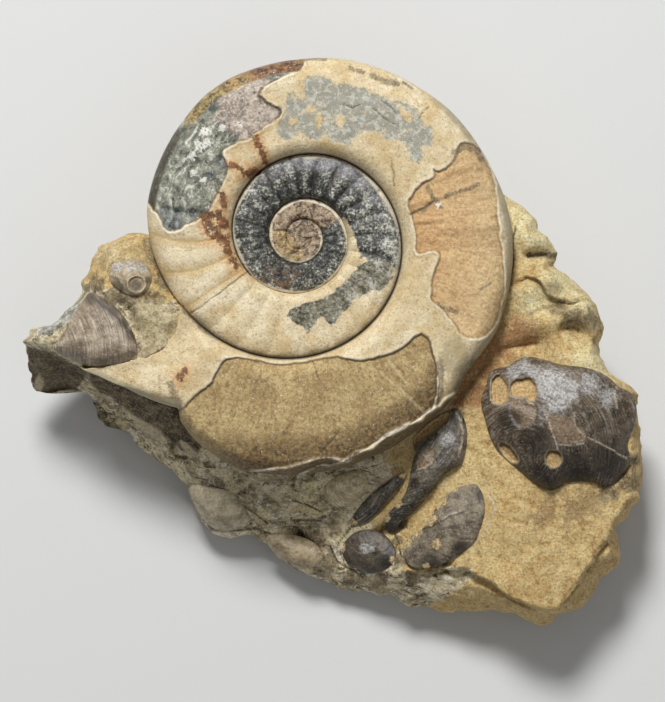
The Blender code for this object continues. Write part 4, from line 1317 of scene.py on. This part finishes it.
# %% a finish and its short ways to add nodes
class Finish:
    """One procedural material, with positions in millimetres."""

    def __init__(self, name):
        self.material = bpy.data.materials.new(name)
        self.material.use_nodes = True
        self.tree = self.material.node_tree
        self.shader = self.tree.nodes["Principled BSDF"]
        place = self.tree.nodes.new("ShaderNodeTexCoord")
        self.place = self.vector_math("SCALE", place.outputs["Object"], scale=1000)

    def put(self, socket, value):
        if isinstance(value, bpy.types.NodeSocket):
            self.tree.links.new(value, socket)
        elif isinstance(value, tuple):
            socket.default_value = (*value, 1) if len(value) == 3 else value
        else:
            socket.default_value = value

    def vector_math(self, operation, vector, other=None, scale=1.0):
        made = self.tree.nodes.new("ShaderNodeVectorMath")
        made.operation = operation
        self.put(made.inputs[0], vector)
        if other is not None:
            made.inputs[1].default_value = other
        if operation == "SCALE":
            made.inputs["Scale"].default_value = scale
        return made.outputs[0]

    def value(self, name):
        made = self.tree.nodes.new("ShaderNodeAttribute")
        made.attribute_name = name
        return made.outputs["Fac"]

    def calc(self, operation, first, second=0.0, third=0.0):
        made = self.tree.nodes.new("ShaderNodeMath")
        made.operation = operation
        for socket, number in zip(made.inputs, (first, second, third)):
            self.put(socket, number)
        return made.outputs[0]

    def pair(self, first, second):
        """Two kept values read as a place, so that a noise can follow the shell's growth."""
        made = self.tree.nodes.new("ShaderNodeCombineXYZ")
        self.put(made.inputs[0], self.value(first))
        self.put(made.inputs[1], self.value(second))
        return made.outputs[0]

    def noise(self, size, detail=4.0, roughness=0.6, warp=0.0, stretch=None, seed=0.0, place=None):
        made = self.tree.nodes.new("ShaderNodeTexNoise")
        place = self.place if place is None else place
        if stretch is not None:
            place = self.vector_math("MULTIPLY", place, stretch)
        place = self.vector_math("ADD", place, (seed * 17.3, seed * 5.1, seed * 9.7))
        self.put(made.inputs["Vector"], place)
        made.inputs["Scale"].default_value = 1 / size
        made.inputs["Detail"].default_value = detail
        made.inputs["Roughness"].default_value = roughness
        made.inputs["Distortion"].default_value = warp
        return made.outputs["Fac"]

    def grain(self, size, seed, sharp=0.08, middle=0.5, **shape):
        """Noise pulled apart towards 0 and 1, as grains and blots are."""
        return self.ramp(self.noise(size, seed=seed, **shape), middle - sharp, middle + sharp)

    def spots(self, name, noise, low=0.42, high=0.62, wild=0.9):
        """Kept spots with a noisy edge."""
        shift = self.ramp(noise, 0.3, 0.7, -wild / 2, wild / 2)
        return self.ramp(self.calc("ADD", self.value(name), shift), low, high)

    def paint(self, colour, mask, amount, over):
        return self.mix(self.calc("MULTIPLY", mask, amount), colour, over)

    def ramp(self, value, low, high, start=0.0, end=1.0):
        made = self.tree.nodes.new("ShaderNodeMapRange")
        self.put(made.inputs["Value"], value)
        for name, number in (("From Min", low), ("From Max", high), ("To Min", start),
                             ("To Max", end)):
            made.inputs[name].default_value = number
        return made.outputs["Result"]

    def mix(self, mask, under, over, way="MIX"):
        made = self.tree.nodes.new("ShaderNodeMix")
        made.data_type = "RGBA"
        made.blend_type = way
        self.put(made.inputs["Factor"], mask)
        self.put(made.inputs[6], under)
        self.put(made.inputs[7], over)
        return made.outputs[2]

    def blend(self, mask, under, over):
        made = self.tree.nodes.new("ShaderNodeMix")
        self.put(made.inputs["Factor"], mask)
        self.put(made.inputs[2], under)
        self.put(made.inputs[3], over)
        return made.outputs[0]

    def ragged_mask(self, value, noise, reach=3.0, sharp=0.7):
        """1 inside a patch whose kept depth is in face units, with a noisy edge."""
        shift = self.calc("MULTIPLY_ADD", noise, 2 * reach, -reach)
        return self.ramp(self.calc("ADD", value, shift), -sharp, sharp)

    def close(self, colour, roughness, height=None, depth=0.0002, strength=1.0):
        self.put(self.shader.inputs["Base Color"], colour)
        self.put(self.shader.inputs["Roughness"], roughness)
        if height is not None:
            made = self.tree.nodes.new("ShaderNodeBump")
            made.inputs["Strength"].default_value = strength
            made.inputs["Distance"].default_value = depth
            self.put(made.inputs["Height"], height)
            self.put(self.shader.inputs["Normal"], made.outputs["Normal"])
        return self.material


print("short ways in a finish:", [name for name in vars(Finish) if not name.startswith("_")])

# %% [markdown]
# Colours
#
# Colours are judged on the usual scale from 0 to 255. Blender's shaders want linear light, so one
# function changes them over.

# %% colours and dressing
def tone(red, green, blue):
    """A colour judged on a scale of 0 to 255, as the shader needs it."""
    return tuple((part / 255) ** 2.2 for part in (red, green, blue))


def dress(thing, material):
    thing.data.materials.clear()
    thing.data.materials.append(material)


print("middle grey in the shader:", round(tone(128, 128, 128)[0], 3))

# %% [markdown]
# Shell, mould and crystal
#
# The cream shell is chalky, with fine grey specks and a little yellow. Where it has gone, the mould
# is sandy: orange-tan at the right, olive-tan below. The oldest turns are dark calcite, a salt and
# pepper of grey grains, with a painted highlight on the ribs. The very middle is brown and cracked.

# %% the finish parts that both coil pieces share
# SEAM_DARK colours cracks, sutures and crevices, and the painted shadow in seams and under shell edges.
SEAM_DARK = tone(54, 42, 30)
RUST = tone(104, 62, 34)


def cream_shell(finish):
    colour = finish.mix(finish.grain(8, 1, 0.14), tone(218, 198, 156), tone(240, 226, 192))
    colour = finish.paint(colour, finish.grain(4, 2, 0.08, 0.55), 0.6, tone(204, 174, 118))
    cloud = finish.grain(1.3, 3, 0.12, 0.54, detail=6, roughness=0.75)
    colour = finish.paint(colour, cloud, 0.5, tone(168, 148, 112))
    specks = finish.grain(0.42, 17, 0.06, 0.585, detail=3, roughness=0.8)
    return finish.paint(colour, specks, 0.6, tone(112, 94, 66))


def dark_calcite(finish, lift):
    """Salt and pepper grains, paler where lift is higher; lift holds the painted highlight on the ribs."""
    grains = finish.noise(0.5, 4, 0.8, seed=4)
    cloud = finish.noise(2.0, 5, 0.7, seed=5)
    bright = finish.calc("ADD", grains, finish.calc("MULTIPLY_ADD", cloud, 0.7, -0.35))
    bright = finish.calc("ADD", bright, lift)
    colour = finish.mix(finish.ramp(bright, 0.40, 0.53), tone(30, 32, 29), tone(92, 91, 82))
    return finish.mix(finish.ramp(bright, 0.53, 0.69), colour, tone(206, 205, 192))


print("seam colour:", [round(part, 3) for part in SEAM_DARK])

# %% [markdown]
# The first turns
#
# Calcite has filled the first turns with dark grains. Ribs catch the light, so they are a little
# paler. The very middle is brown, and the cream layer is left as a strip at the end.

# %% the finish of the first turns
def nucleus_colour(finish):
    blots = finish.noise(1.3, 6, 0.8, warp=0.5, seed=7)
    colour = finish.mix(finish.ramp(blots, 0.42, 0.60), tone(80, 60, 44), tone(192, 170, 140))
    yellow = finish.mix(finish.ramp(blots, 0.4, 0.6), tone(112, 88, 54), tone(202, 176, 128))
    colour = finish.mix(finish.spots("yellow", blots, 0.3, 0.6, 0.6), colour, yellow)
    crevices = finish.ramp(finish.noise(1.4, 5, 0.75, seed=8), 0.41, 0.37)
    return finish.paint(colour, crevices, 0.85, SEAM_DARK)


def inner_finish():
    finish = Finish("dark whorls")
    turn, across = finish.value("turn"), finish.value("across")
    edge = finish.noise(1.3, 5, 0.7, seed=6)
    # lift: a painted highlight on the rib crests; the grains also get darker towards the inner seam and a
    # little paler on the later turns.
    lift = finish.calc("MULTIPLY_ADD", finish.value("rib"), 0.10, finish.ramp(across, 0, 1, -0.09, 0.04))
    lift = finish.calc("ADD", lift, finish.ramp(turn, 1.8, 2.1, 0, 0.05))
    colour = dark_calcite(finish, lift)
    violet = finish.mix(finish.grain(0.9, 18, 0.12), tone(98, 95, 98), tone(160, 157, 162))
    colour = finish.paint(colour, finish.value("smooth"), 0.6, violet)
    blots = finish.grain(1.1, 19, 0.05, 0.52)
    colour = finish.paint(colour, finish.calc("MULTIPLY", finish.value("brown"), blots), 0.8,
                          tone(112, 82, 56))
    olive = finish.mix(finish.grain(0.8, 9, 0.1), tone(72, 70, 54), tone(172, 162, 128))
    colour = finish.paint(colour, finish.value("olive"), 0.45, olive)
    cream = finish.ragged_mask(finish.value("cream"), edge, 4.0)
    colour = finish.mix(cream, colour, cream_shell(finish))
    middle = finish.ramp(finish.calc("MULTIPLY_ADD", edge, 0.06, turn), 0.975, 0.955)
    colour = finish.mix(middle, colour, nucleus_colour(finish))
    line = finish.calc("MULTIPLY", finish.value("white_line"), finish.ramp(edge, 0.36, 0.46))
    colour = finish.paint(colour, line, 0.9, tone(220, 206, 180))
    rust = finish.spots("rust", edge)
    colour = finish.mix(rust, colour, RUST)
    dark_lines = finish.calc("MAXIMUM", finish.value("crack"), finish.value("suture"))
    colour = finish.paint(colour, dark_lines, 0.85, SEAM_DARK)
    # Painted shadow, dark brown, in the seam where the next turn lies over this one.
    colour = finish.mix(finish.ramp(across, 0.985, 1.0), colour, SEAM_DARK)
    grain = finish.noise(0.5, 4, 0.75, seed=9)
    return finish.close(colour, finish.blend(cream, 0.42, 0.62), grain, 0.00016, 0.9)


dress(inner_whorls, inner_finish())
print("nodes in the dark finish:", len(inner_whorls.data.materials[0].node_tree.nodes))

# %% [markdown]
# Window, blue shell and mould
#
# The window at the upper left is clear crystal with white feathers over dark stone, and its rim is
# golden. The blue-grey patches are a thin inner layer of shell. The mould is sand that filled the
# shell and turned to stone, so it gets fine grains and the faint waves of the ribs.

# %% window, blue shell and mould
def window_finish(finish):
    """Crystal at the upper left: grey-green with white feathers, pink-grey above, golden rim."""
    streaks = finish.noise(1, 5, 0.75, warp=0.9, stretch=(0.22, 0.5, 1), seed=11,
                           place=finish.pair("run", "climb"))
    fine = finish.noise(0.5, 4, 0.8, seed=12)
    bright = finish.calc("MULTIPLY_ADD", fine, 0.3, finish.calc("MULTIPLY", streaks, 0.7))
    colour = finish.mix(finish.ramp(bright, 0.40, 0.52), tone(58, 62, 54), tone(138, 139, 122))
    colour = finish.mix(finish.ramp(bright, 0.52, 0.61), colour, tone(220, 216, 200))
    deep = finish.mix(finish.ramp(bright, 0.44, 0.6), tone(38, 44, 44), tone(128, 132, 130))
    colour = finish.paint(colour, finish.spots("deep", streaks, 0.35, 0.6), 0.8, deep)
    blots = finish.noise(1.5, 6, 0.8, warp=0.5, seed=47)
    pink = finish.mix(finish.ramp(blots, 0.40, 0.60), tone(118, 104, 94), tone(204, 188, 170))
    pink = finish.paint(pink, finish.ramp(fine, 0.44, 0.37), 0.8, tone(70, 62, 56))
    pink = finish.paint(pink, finish.ramp(fine, 0.57, 0.64), 0.7, tone(236, 226, 210))
    colour = finish.mix(finish.spots("pink", streaks, 0.4, 0.6), colour, pink)
    gold = finish.mix(finish.ramp(blots, 0.42, 0.58), tone(72, 52, 28), tone(182, 148, 90))
    red = finish.mix(finish.ramp(blots, 0.44, 0.6), tone(60, 32, 20), tone(148, 94, 58))
    olive = finish.mix(finish.ramp(blots, 0.42, 0.6), tone(88, 76, 40), tone(182, 164, 106))
    gold = finish.paint(gold, finish.spots("reddish", blots, 0.3, 0.6, 1.2), 0.8, red)
    gold = finish.paint(gold, finish.spots("olive", blots, 0.3, 0.6, 1.2), 0.7, olive)
    gold = finish.paint(gold, finish.ramp(fine, 0.57, 0.65), 0.6, tone(228, 210, 168))
    gold = finish.paint(gold, finish.ramp(fine, 0.44, 0.38), 0.6, tone(50, 34, 22))
    colour = finish.mix(finish.spots("gold", blots, 0.4, 0.6, 1.2), colour, gold)
    return finish.paint(colour, finish.spots("dusk", streaks, 0.3, 0.7, 0.6), 0.85, tone(60, 52, 36))


def blue_patches(finish):
    cloud = finish.noise(1.2, 5, 0.7, warp=0.6, seed=13)
    colour = finish.mix(finish.ramp(cloud, 0.40, 0.60), tone(140, 140, 130), tone(188, 188, 174))
    contour = finish.ramp(finish.calc("ABSOLUTE", finish.calc("SUBTRACT", cloud, 0.5)), 0.022, 0.004)
    return finish.paint(colour, contour, 0.75, tone(84, 80, 66))


def mould(finish, colour, pale, deep, seed):
    """Sandy mould with fine waves across the whorl and darker stains."""
    waves = finish.noise(1, 4, 0.65, warp=0.6, stretch=(1.1, 0.3, 1), seed=seed + 1,
                         place=finish.pair("run", "climb"))
    base = finish.mix(finish.grain(5, seed, 0.12), colour, pale)
    base = finish.paint(base, finish.ramp(waves, 0.5, 0.64), 0.55, deep)
    base = finish.paint(base, finish.grain(5.5, seed + 4, 0.12, 0.55, detail=5), 0.4, deep)
    base = finish.paint(base, finish.grain(0.6, seed + 2, 0.09, 0.53, detail=4, roughness=0.8), 0.7, deep)
    return finish.paint(base, finish.grain(0.5, seed + 3, 0.08, 0.60, detail=3, roughness=0.8), 0.4,
                        tone(236, 218, 180))


print("colours of the mould start from:", [round(part, 2) for part in tone(200, 176, 122)])

# %% [markdown]
# The last whorl's finish
#
# The layers are painted in the order in which they formed: shell, patches where it has gone, then
# rust, dirt and cracks on top; some of the dirt marks are painted shadow. Painted shade, shadow and
# highlights along edges, ribs and seams go in among these layers. Each is a mask and a colour, so any
# of them can be left out alone.

# %% the finish of the last whorl
def outer_finish():
    finish = Finish("cream shell")
    edge = finish.noise(1.0, 5, 0.7, seed=10)
    blots = finish.noise(1.1, 5, 0.75, seed=14)
    colour = cream_shell(finish)
    # Painted shade in the furrows between the ribs, and a painted highlight on their crests.
    colour = finish.paint(colour, finish.ramp(finish.value("rib"), 0.1, -0.3), 0.55, tone(194, 164, 108))
    colour = finish.paint(colour, finish.ramp(finish.value("rib"), 0.1, 0.6), 0.45, tone(246, 234, 204))
    colour = finish.paint(colour, finish.spots("tail", blots, 0.3, 0.7), 0.6, tone(150, 138, 104))
    blue = finish.ragged_mask(finish.value("blue"), edge, 6.0, 1.2)
    blue = finish.calc("MULTIPLY", blue, finish.grain(1.7, 15, 0.03, 0.39, detail=5, roughness=0.7))
    colour = finish.paint(colour, blue, 0.9, blue_patches(finish))
    colour = finish.paint(colour, finish.value("rim_band"), 0.6, tone(148, 142, 118))
    orange = mould(finish, tone(208, 168, 116), tone(218, 184, 128), tone(162, 114, 68), 20)
    orange = finish.paint(orange, finish.ramp(finish.value("climb"), 26, 38), 0.7,
                          mould(finish, tone(208, 184, 136), tone(222, 198, 150), tone(160, 126, 84), 20))
    tan = mould(finish, tone(176, 148, 98), tone(200, 176, 122), tone(118, 92, 52), 24)
    # Painted shade, dark olive-brown, on the mould's low side.
    tan = finish.paint(tan, finish.spots("low_side_shade", blots, 0.2, 0.8, 0.5), 0.9,
                       finish.mix(finish.grain(0.6, 27, 0.1), tone(60, 46, 24), tone(124, 100, 60)))
    window = finish.ragged_mask(finish.value("window"), edge, 0.8)
    colour = finish.mix(window, colour, window_finish(finish))
    colour = finish.mix(finish.ragged_mask(finish.value("orange"), edge, 0.8), colour, orange)
    colour = finish.mix(finish.ragged_mask(finish.value("tan"), edge, 0.8), colour, tan)
    # Painted shadow: a dark line just inside the lower mould's edge, under the shell's edge.
    shadow_under_edge = finish.calc("MULTIPLY", finish.ramp(finish.value("tan"), -0.4, 0.6),
                             finish.ramp(finish.value("tan"), 2.6, 1.0))
    colour = finish.paint(colour, shadow_under_edge, 0.6, SEAM_DARK)
    # The flake's outer side: the mould's olive-brown darkened as painted shade. Below it the rolled rim is
    # painted nearly black as painted shadow.
    colour = finish.paint(colour, finish.value("flake_side_shade"), 0.92,
                          finish.mix(finish.grain(0.7, 28, 0.1), tone(78, 62, 36), tone(128, 106, 68)))
    colour = finish.paint(colour, finish.value("flake_foot_shadow"), 0.85, tone(48, 38, 24))
    # Painted shade on the mould just inside each shell edge.
    colour = finish.paint(colour, finish.value("shade_under_lip"), 0.55, tone(84, 62, 38))
    # The lip of each shell edge is painted pale: partly the white edge of the shell layer, partly a painted
    # highlight. A noise breaks it into pieces.
    patchy_lip = finish.ramp(finish.noise(2.4, 5, 0.7, seed=26), 0.40, 0.56)
    colour = finish.paint(colour, finish.calc("MULTIPLY", finish.value("lip"), patchy_lip), 0.8,
                          tone(240, 230, 206))
    bare = finish.ramp(window, 1.0, 0.35)
    colour = finish.paint(colour, finish.calc("MULTIPLY", bare, finish.spots("halo", blots, 0.3, 0.9, 1.4)),
                          0.7, tone(198, 148, 92))
    rust = finish.mix(finish.grain(0.8, 29, 0.1), tone(62, 38, 22), tone(132, 80, 42))
    colour = finish.paint(colour, finish.spots("rust", blots, 0.4, 0.75, 1.3), 0.9, rust)
    # Dirt, and painted shadow at a few edges and folds.
    dirt_and_shadow = finish.spots("grime", finish.noise(1.2, 5, 0.8, seed=25), 0.4, 0.8, 1.0)
    colour = finish.paint(colour, dirt_and_shadow, 0.7, finish.mix(finish.grain(0.5, 31, 0.1), tone(62, 52, 38),
                                                        tone(140, 126, 100)))
    colour = finish.paint(colour, finish.spots("white", finish.noise(0.6, 4, 0.8, seed=45), 0.5, 0.75, 1.6),
                          0.85, tone(236, 232, 220))
    colour = finish.paint(colour, finish.value("crack"), 0.75, SEAM_DARK)
    colour = finish.paint(colour, finish.value("scratch"), 0.35, tone(232, 218, 180))
    # Painted shadow, dark brown, in the seam along the inner edge of the last whorl.
    colour = finish.mix(finish.ramp(finish.value("across"), 0.022, 0.004), colour, SEAM_DARK)
    gloss = finish.blend(window, 0.66, 0.4)
    grain = finish.noise(0.6, 5, 0.75, seed=16)
    return finish.close(colour, gloss, grain, 0.0002, 0.9)


dress(outer_whorl, outer_finish())
print("nodes in the cream finish:", len(outer_whorl.data.materials[0].node_tree.nodes))

# %% [markdown]
# Stone colours
#
# The stone is a sandy limestone. Its ochre is mottled with lighter and darker clouds and speckled
# by sand grains and small black specks. The zones kept on the mesh then turn it reddish or grey, add
# painted shade, nearly black, in its crevices and painted light on its right side, and the noise
# added to each zone keeps its border from looking drawn.

# %% the finish of the stone
def crushed_shell(finish, middle):
    """Grey-brown stone full of pale and dark flakes of shell."""
    patches = finish.noise(4.5, 4, 0.6, warp=0.8, seed=44)
    streaks = finish.noise(2.2, 5, 0.7, warp=1.2, stretch=(0.7, 1.2, 1.0), seed=35)
    colour = finish.mix(finish.ramp(patches, 0.42, 0.56), tone(150, 136, 108), tone(246, 230, 186))
    colour = finish.paint(colour, finish.ramp(middle, 0.55, 0.66), 0.8, tone(252, 236, 190))
    colour = finish.paint(colour, finish.ramp(middle, 0.45, 0.36), 0.7, tone(72, 62, 48))
    colour = finish.paint(colour, finish.ramp(streaks, 0.55, 0.59), 0.9, tone(255, 248, 228))
    colour = finish.paint(colour, finish.ramp(streaks, 0.44, 0.40), 0.9, tone(40, 33, 26))
    grit = finish.grain(0.5, 36, 0.05, 0.57, detail=3, roughness=0.8)
    return finish.paint(colour, grit, 0.6, tone(236, 222, 190))


def stone_finish():
    finish = Finish("ochre stone")
    middle = finish.noise(2.2, 6, 0.75, seed=31)
    edge = finish.noise(1.8, 6, 0.72, seed=33)
    colour = finish.mix(finish.grain(10, 30, 0.14), tone(210, 176, 114), tone(230, 200, 138))
    colour = finish.paint(colour, finish.ramp(middle, 0.5, 0.64), 0.6, tone(250, 228, 172))
    colour = finish.paint(colour, finish.ramp(middle, 0.47, 0.36), 0.7, tone(156, 116, 64))
    fair = finish.mix(finish.ramp(middle, 0.4, 0.6), tone(234, 216, 156), tone(255, 244, 196))
    colour = finish.paint(colour, finish.spots("red", edge, 0.3, 0.8), 0.75, tone(158, 104, 64))
    colour = finish.paint(colour, finish.spots("stain", edge, 0.35, 0.7, 1.2), 0.6, tone(140, 110, 74))
    shelly = finish.spots("shelly", edge, 0.4, 0.6)
    colour = finish.mix(shelly, colour, crushed_shell(finish, middle))
    # Paler, yellower stone: painted light on the right side, and pale patches in the crushed shell.
    colour = finish.paint(colour, finish.spots("fair", edge, 0.2, 0.8, 0.9), 0.85, fair)
    grey = finish.mix(finish.ramp(middle, 0.4, 0.6), tone(84, 72, 52), tone(172, 156, 120))
    colour = finish.paint(colour, finish.spots("grey", edge, 0.3, 0.6, 0.8), 0.85, grey)
    lens = finish.mix(finish.ramp(middle, 0.38, 0.62), tone(160, 142, 100), tone(226, 212, 174))
    colour = finish.mix(finish.value("lens"), colour, lens)
    cap = finish.mix(finish.ramp(middle, 0.4, 0.62), tone(184, 154, 100), tone(238, 220, 172))
    colour = finish.paint(colour, finish.value("cap"), 0.9, cap)
    ice = finish.mix(finish.ramp(middle, 0.42, 0.6), tone(110, 110, 102), tone(226, 226, 214))
    colour = finish.mix(finish.value("crystal"), colour, ice)
    slope = finish.mix(finish.ramp(middle, 0.42, 0.62), tone(48, 40, 30), tone(140, 126, 98))
    colour = finish.mix(finish.value("slope"), colour, slope)
    # Painted shade, nearly black, in crevices, hollows and the cave; dark cracks get the same colour.
    shade_and_crack_mask = finish.spots("crevice", edge, 0.35, 0.7, 0.6)
    shade_and_crack_colour = finish.mix(finish.ramp(middle, 0.48, 0.62), tone(40, 32, 24), tone(112, 96, 74))
    colour = finish.paint(colour, shade_and_crack_mask, 0.85, shade_and_crack_colour)
    colour = finish.paint(colour, finish.value("pale"), 0.85, tone(220, 204, 170))
    colour = finish.paint(colour, finish.grain(0.9, 34, 0.03, 0.70), 0.7, tone(84, 60, 38))
    dark_sand = finish.grain(0.5, 32, 0.08, 0.55, detail=4, roughness=0.8)
    colour = finish.paint(colour, dark_sand, 0.6, tone(112, 84, 50))
    light_sand = finish.grain(0.5, 37, 0.06, 0.60, detail=3, roughness=0.8)
    colour = finish.paint(colour, light_sand, 0.4, tone(246, 228, 184))
    sand = finish.noise(0.6, 5, 0.8, seed=38)
    bumps = finish.calc("MULTIPLY_ADD", middle, 0.8, finish.calc("MULTIPLY", sand, 0.9))
    return finish.close(colour, 0.9, bumps, 0.0005, 1.0)


dress(stone, stone_finish())
print("nodes in the stone's finish:", len(stone.data.materials[0].node_tree.nodes))

# %% [markdown]
# Shell colours
#
# The fossil bivalves are glossy. Their growth lines come from the distance to the umbo: a wave of
# it, made uneven by noise, gives lines that follow the shell. The dark ones are nearly black-brown
# with paler lines and worn grey patches, the pale ones are like horn. Grit from the stone still
# sticks to some of them.

# %% finishes of the small shells
SHELL_LOOKS = {
    "large_bivalve": ((52, 41, 28), (112, 98, 80), (186, 178, 164), 0.26, 0.45),
    "long_bivalve": ((46, 40, 32), (106, 97, 82), (186, 182, 172), 0.26, 0.3),
    "shell_strip": ((38, 34, 30), (88, 80, 70), (196, 186, 166), 0.3, 0.3),
    "round_bivalve": ((48, 41, 32), (88, 78, 64), (140, 132, 116), 0.36, 0.3),
    "grey_bivalve": ((66, 56, 44), (136, 124, 104), (212, 198, 168), 0.55, 0.1),
    "ribbed_shell": ((110, 94, 76), (164, 148, 126), (226, 216, 196), 0.5, 0.6),
    "ringed_shell": ((126, 108, 80), (178, 162, 132), (226, 220, 206), 0.42, 0.2),
    "pale_bivalve": ((132, 118, 92), (192, 178, 148), (232, 222, 196), 0.34, 0.35),
    "bulging_shell": ((120, 102, 76), (178, 160, 128), (220, 206, 174), 0.38, 0.25),
    "swirled_shell": ((150, 132, 98), (218, 202, 160), (252, 244, 216), 0.42, 0.7),
}


def shell_finish(name):
    deep, usual, pale, gloss, lined = SHELL_LOOKS[name]
    finish = Finish(name.replace("_", " "))
    cloud = finish.noise(2.6, 5, 0.72, seed=40)
    fine = finish.noise(0.5, 5, 0.8, seed=41)
    # Painted shade: each shell gets darker towards its lower side.
    shade = finish.calc("MULTIPLY_ADD", finish.value("low"), -0.10, cloud)
    colour = finish.mix(finish.ramp(shade, 0.36, 0.58), tone(*deep), tone(*usual))
    lines = finish.noise(1, 4, 0.75, stretch=(0.55, 0.03, 1), seed=43,
                         place=finish.pair("growth", "sweep"))
    colour = finish.paint(colour, finish.ramp(lines, 0.48, 0.40), lined, tone(*deep))
    wear = finish.grain(3.2, 42, 0.08, 0.52, detail=6, roughness=0.7)
    worn = finish.calc("MULTIPLY", finish.ramp(lines, 0.5, 0.6), wear)
    colour = finish.paint(colour, worn, lined, tone(*pale))
    colour = finish.paint(colour, finish.ramp(fine, 0.55, 0.64), 0.45, tone(*pale))
    colour = finish.paint(colour, finish.ramp(fine, 0.45, 0.37), 0.5, tone(*deep))
    # Painted reflections: pale grey glints where the lamp would shine on the gloss.
    glint = finish.mix(finish.ramp(fine, 0.42, 0.6), tone(128, 124, 118), tone(214, 214, 212))
    shine = finish.noise(1.4, 6, 0.8, seed=46)
    colour = finish.paint(colour, finish.spots("glint", shine, 0.35, 0.75), 0.6, glint)
    scar = finish.ragged_mask(finish.value("scar"), fine, 0.8)
    brown = finish.mix(finish.ramp(fine, 0.4, 0.6), tone(98, 80, 62), tone(160, 138, 112))
    colour = finish.paint(colour, scar, 0.75, brown)
    dark = tuple(part * 0.6 for part in deep)
    colour = finish.paint(colour, finish.spots("shade", cloud, 0.2, 0.8, 0.6), 0.75, tone(*dark))
    colour = finish.paint(colour, finish.value("seam"), 0.8, tone(*dark))
    crack = finish.calc("MULTIPLY", finish.value("crack"), finish.ramp(fine, 0.4, 0.5))
    colour = finish.paint(colour, crack, 0.65, tone(206, 192, 168))
    hole = finish.ragged_mask(finish.value("hole"), fine, 1.0)
    sandy = finish.mix(finish.ramp(fine, 0.4, 0.62), tone(148, 118, 76), tone(212, 182, 130))
    colour = finish.mix(hole, colour, sandy)
    rim = finish.calc("MULTIPLY", finish.ramp(finish.value("hole"), -2.2, -0.8),
                      finish.ramp(finish.value("hole"), 0.6, -0.4))
    colour = finish.paint(colour, rim, 0.35, tone(196, 182, 156))
    colour = finish.paint(colour, finish.value("shadow"), 0.8, tone(70, 50, 30))
    grit = finish.spots("grit", finish.noise(1.4, 6, 0.8, seed=47), 0.48, 0.6)
    dull = finish.mix(finish.ramp(fine, 0.4, 0.6), tone(112, 92, 62), tone(216, 192, 144))
    colour = finish.mix(grit, colour, dull)
    height = finish.calc("MULTIPLY_ADD", lines, 0.7, finish.calc("MULTIPLY", fine, 0.6))
    rough_part = finish.calc("MAXIMUM", hole, grit)
    return finish.close(colour, finish.blend(rough_part, gloss, 0.85), height, 0.0002, 0.7)


for name, thing in small_shells.items():
    dress(thing, shell_finish(name))
print("finishes in all:", len(bpy.data.materials))

# %% [markdown]
# Pieces and what they stand for
#
# Every piece rides with the whole fossil, and each stands for one packed solid. The two parts of the
# coil stand for the ammonite together.

# %% tying the pieces to the packed model
stands_for = {inner_whorls: "ammonite", outer_whorl: "ammonite", stone: "matrix"}
stands_for.update({thing: name for name, thing in small_shells.items()})
for piece, node in stands_for.items():
    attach(piece, "root")
    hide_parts(node)
print("pieces:", len(stands_for))

# %% [markdown]
# Floor and light
#
# The table is a plain pale sheet. One soft lamp from the upper left shows the relief, and a weak
# wide one lifts the shadows. A smaller lamp would draw hard shadows on the table, and without the
# weak one the front of the stone would be too dark.

# %% floor and light
bm = bmesh.new()
bmesh.ops.create_grid(bm, x_segments=1, y_segments=1, size=1.5)
floor_mesh = bpy.data.meshes.new("floor")
bm.to_mesh(floor_mesh)
bm.free()
floor = bpy.data.objects.new("floor", floor_mesh)
bpy.context.scene.collection.objects.link(floor)
pale_floor = Finish("pale floor")
dress(floor, pale_floor.close((0.62, 0.62, 0.61), 0.8))
floor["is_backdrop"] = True


def soft_light(name, place, size, power):
    lamp = bpy.data.lights.new(name, "AREA")
    lamp.shape = "SQUARE"
    lamp.size = size
    lamp.energy = power
    thing = bpy.data.objects.new(name, lamp)
    thing.location = place
    thing.rotation_euler = (-Vector(place)).to_track_quat("-Z", "Y").to_euler()
    bpy.context.scene.collection.objects.link(thing)
    return thing


soft_light("north light", (-0.14, 0.54, 0.84), 0.26, 10.6)
soft_light("fill light", (0.3, -0.6, 0.9), 0.9, 1.3)
world = bpy.data.worlds.new("studio")
world.use_nodes = True
world.node_tree.nodes["Background"].inputs["Color"].default_value = (0.9, 0.92, 0.95, 1)
world.node_tree.nodes["Background"].inputs["Strength"].default_value = 0.22
bpy.context.scene.world = world
bpy.context.scene.view_settings.view_transform = "Standard"

print("lamps:", len(bpy.data.lights))

# %% [markdown]
# Camera
#
# The camera looks square at the fossil's face. Its lens is worked out so that one step of the face
# is one point of the picture, which makes every outline above easy to check.

# %% camera
SENSOR_WIDTH = 36
PICTURE_WIDTH = 665
PICTURE_CENTRE = (332.5, 351.0)
camera_data = bpy.data.cameras.new("camera")
camera_data.sensor_fit = "HORIZONTAL"
camera_data.sensor_width = SENSOR_WIDTH
camera_data.lens = SENSOR_WIDTH * VIEW_REACH / (PICTURE_WIDTH * UNIT)
camera = bpy.data.objects.new("camera", camera_data)
looked_at = lay(*PICTURE_CENTRE, 0.0)
camera.location = looked_at + VIEW_REACH * np.array([0, -RUN, RISE])
camera.rotation_euler = (math.pi / 2 - FACE_ELEVATION, 0, 0)
bpy.context.scene.collection.objects.link(camera)
bpy.context.scene.camera = camera
print("lens, mm:", round(camera_data.lens, 1))

# %% [markdown]
# Sizes
#
# Last, the size of the box round what is seen is printed.

# %% sizes
visual_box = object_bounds()
size = [high - low for low, high in zip(*visual_box)]
print("seen size, mm:", [round(float(side) * 1000, 1) for side in size])
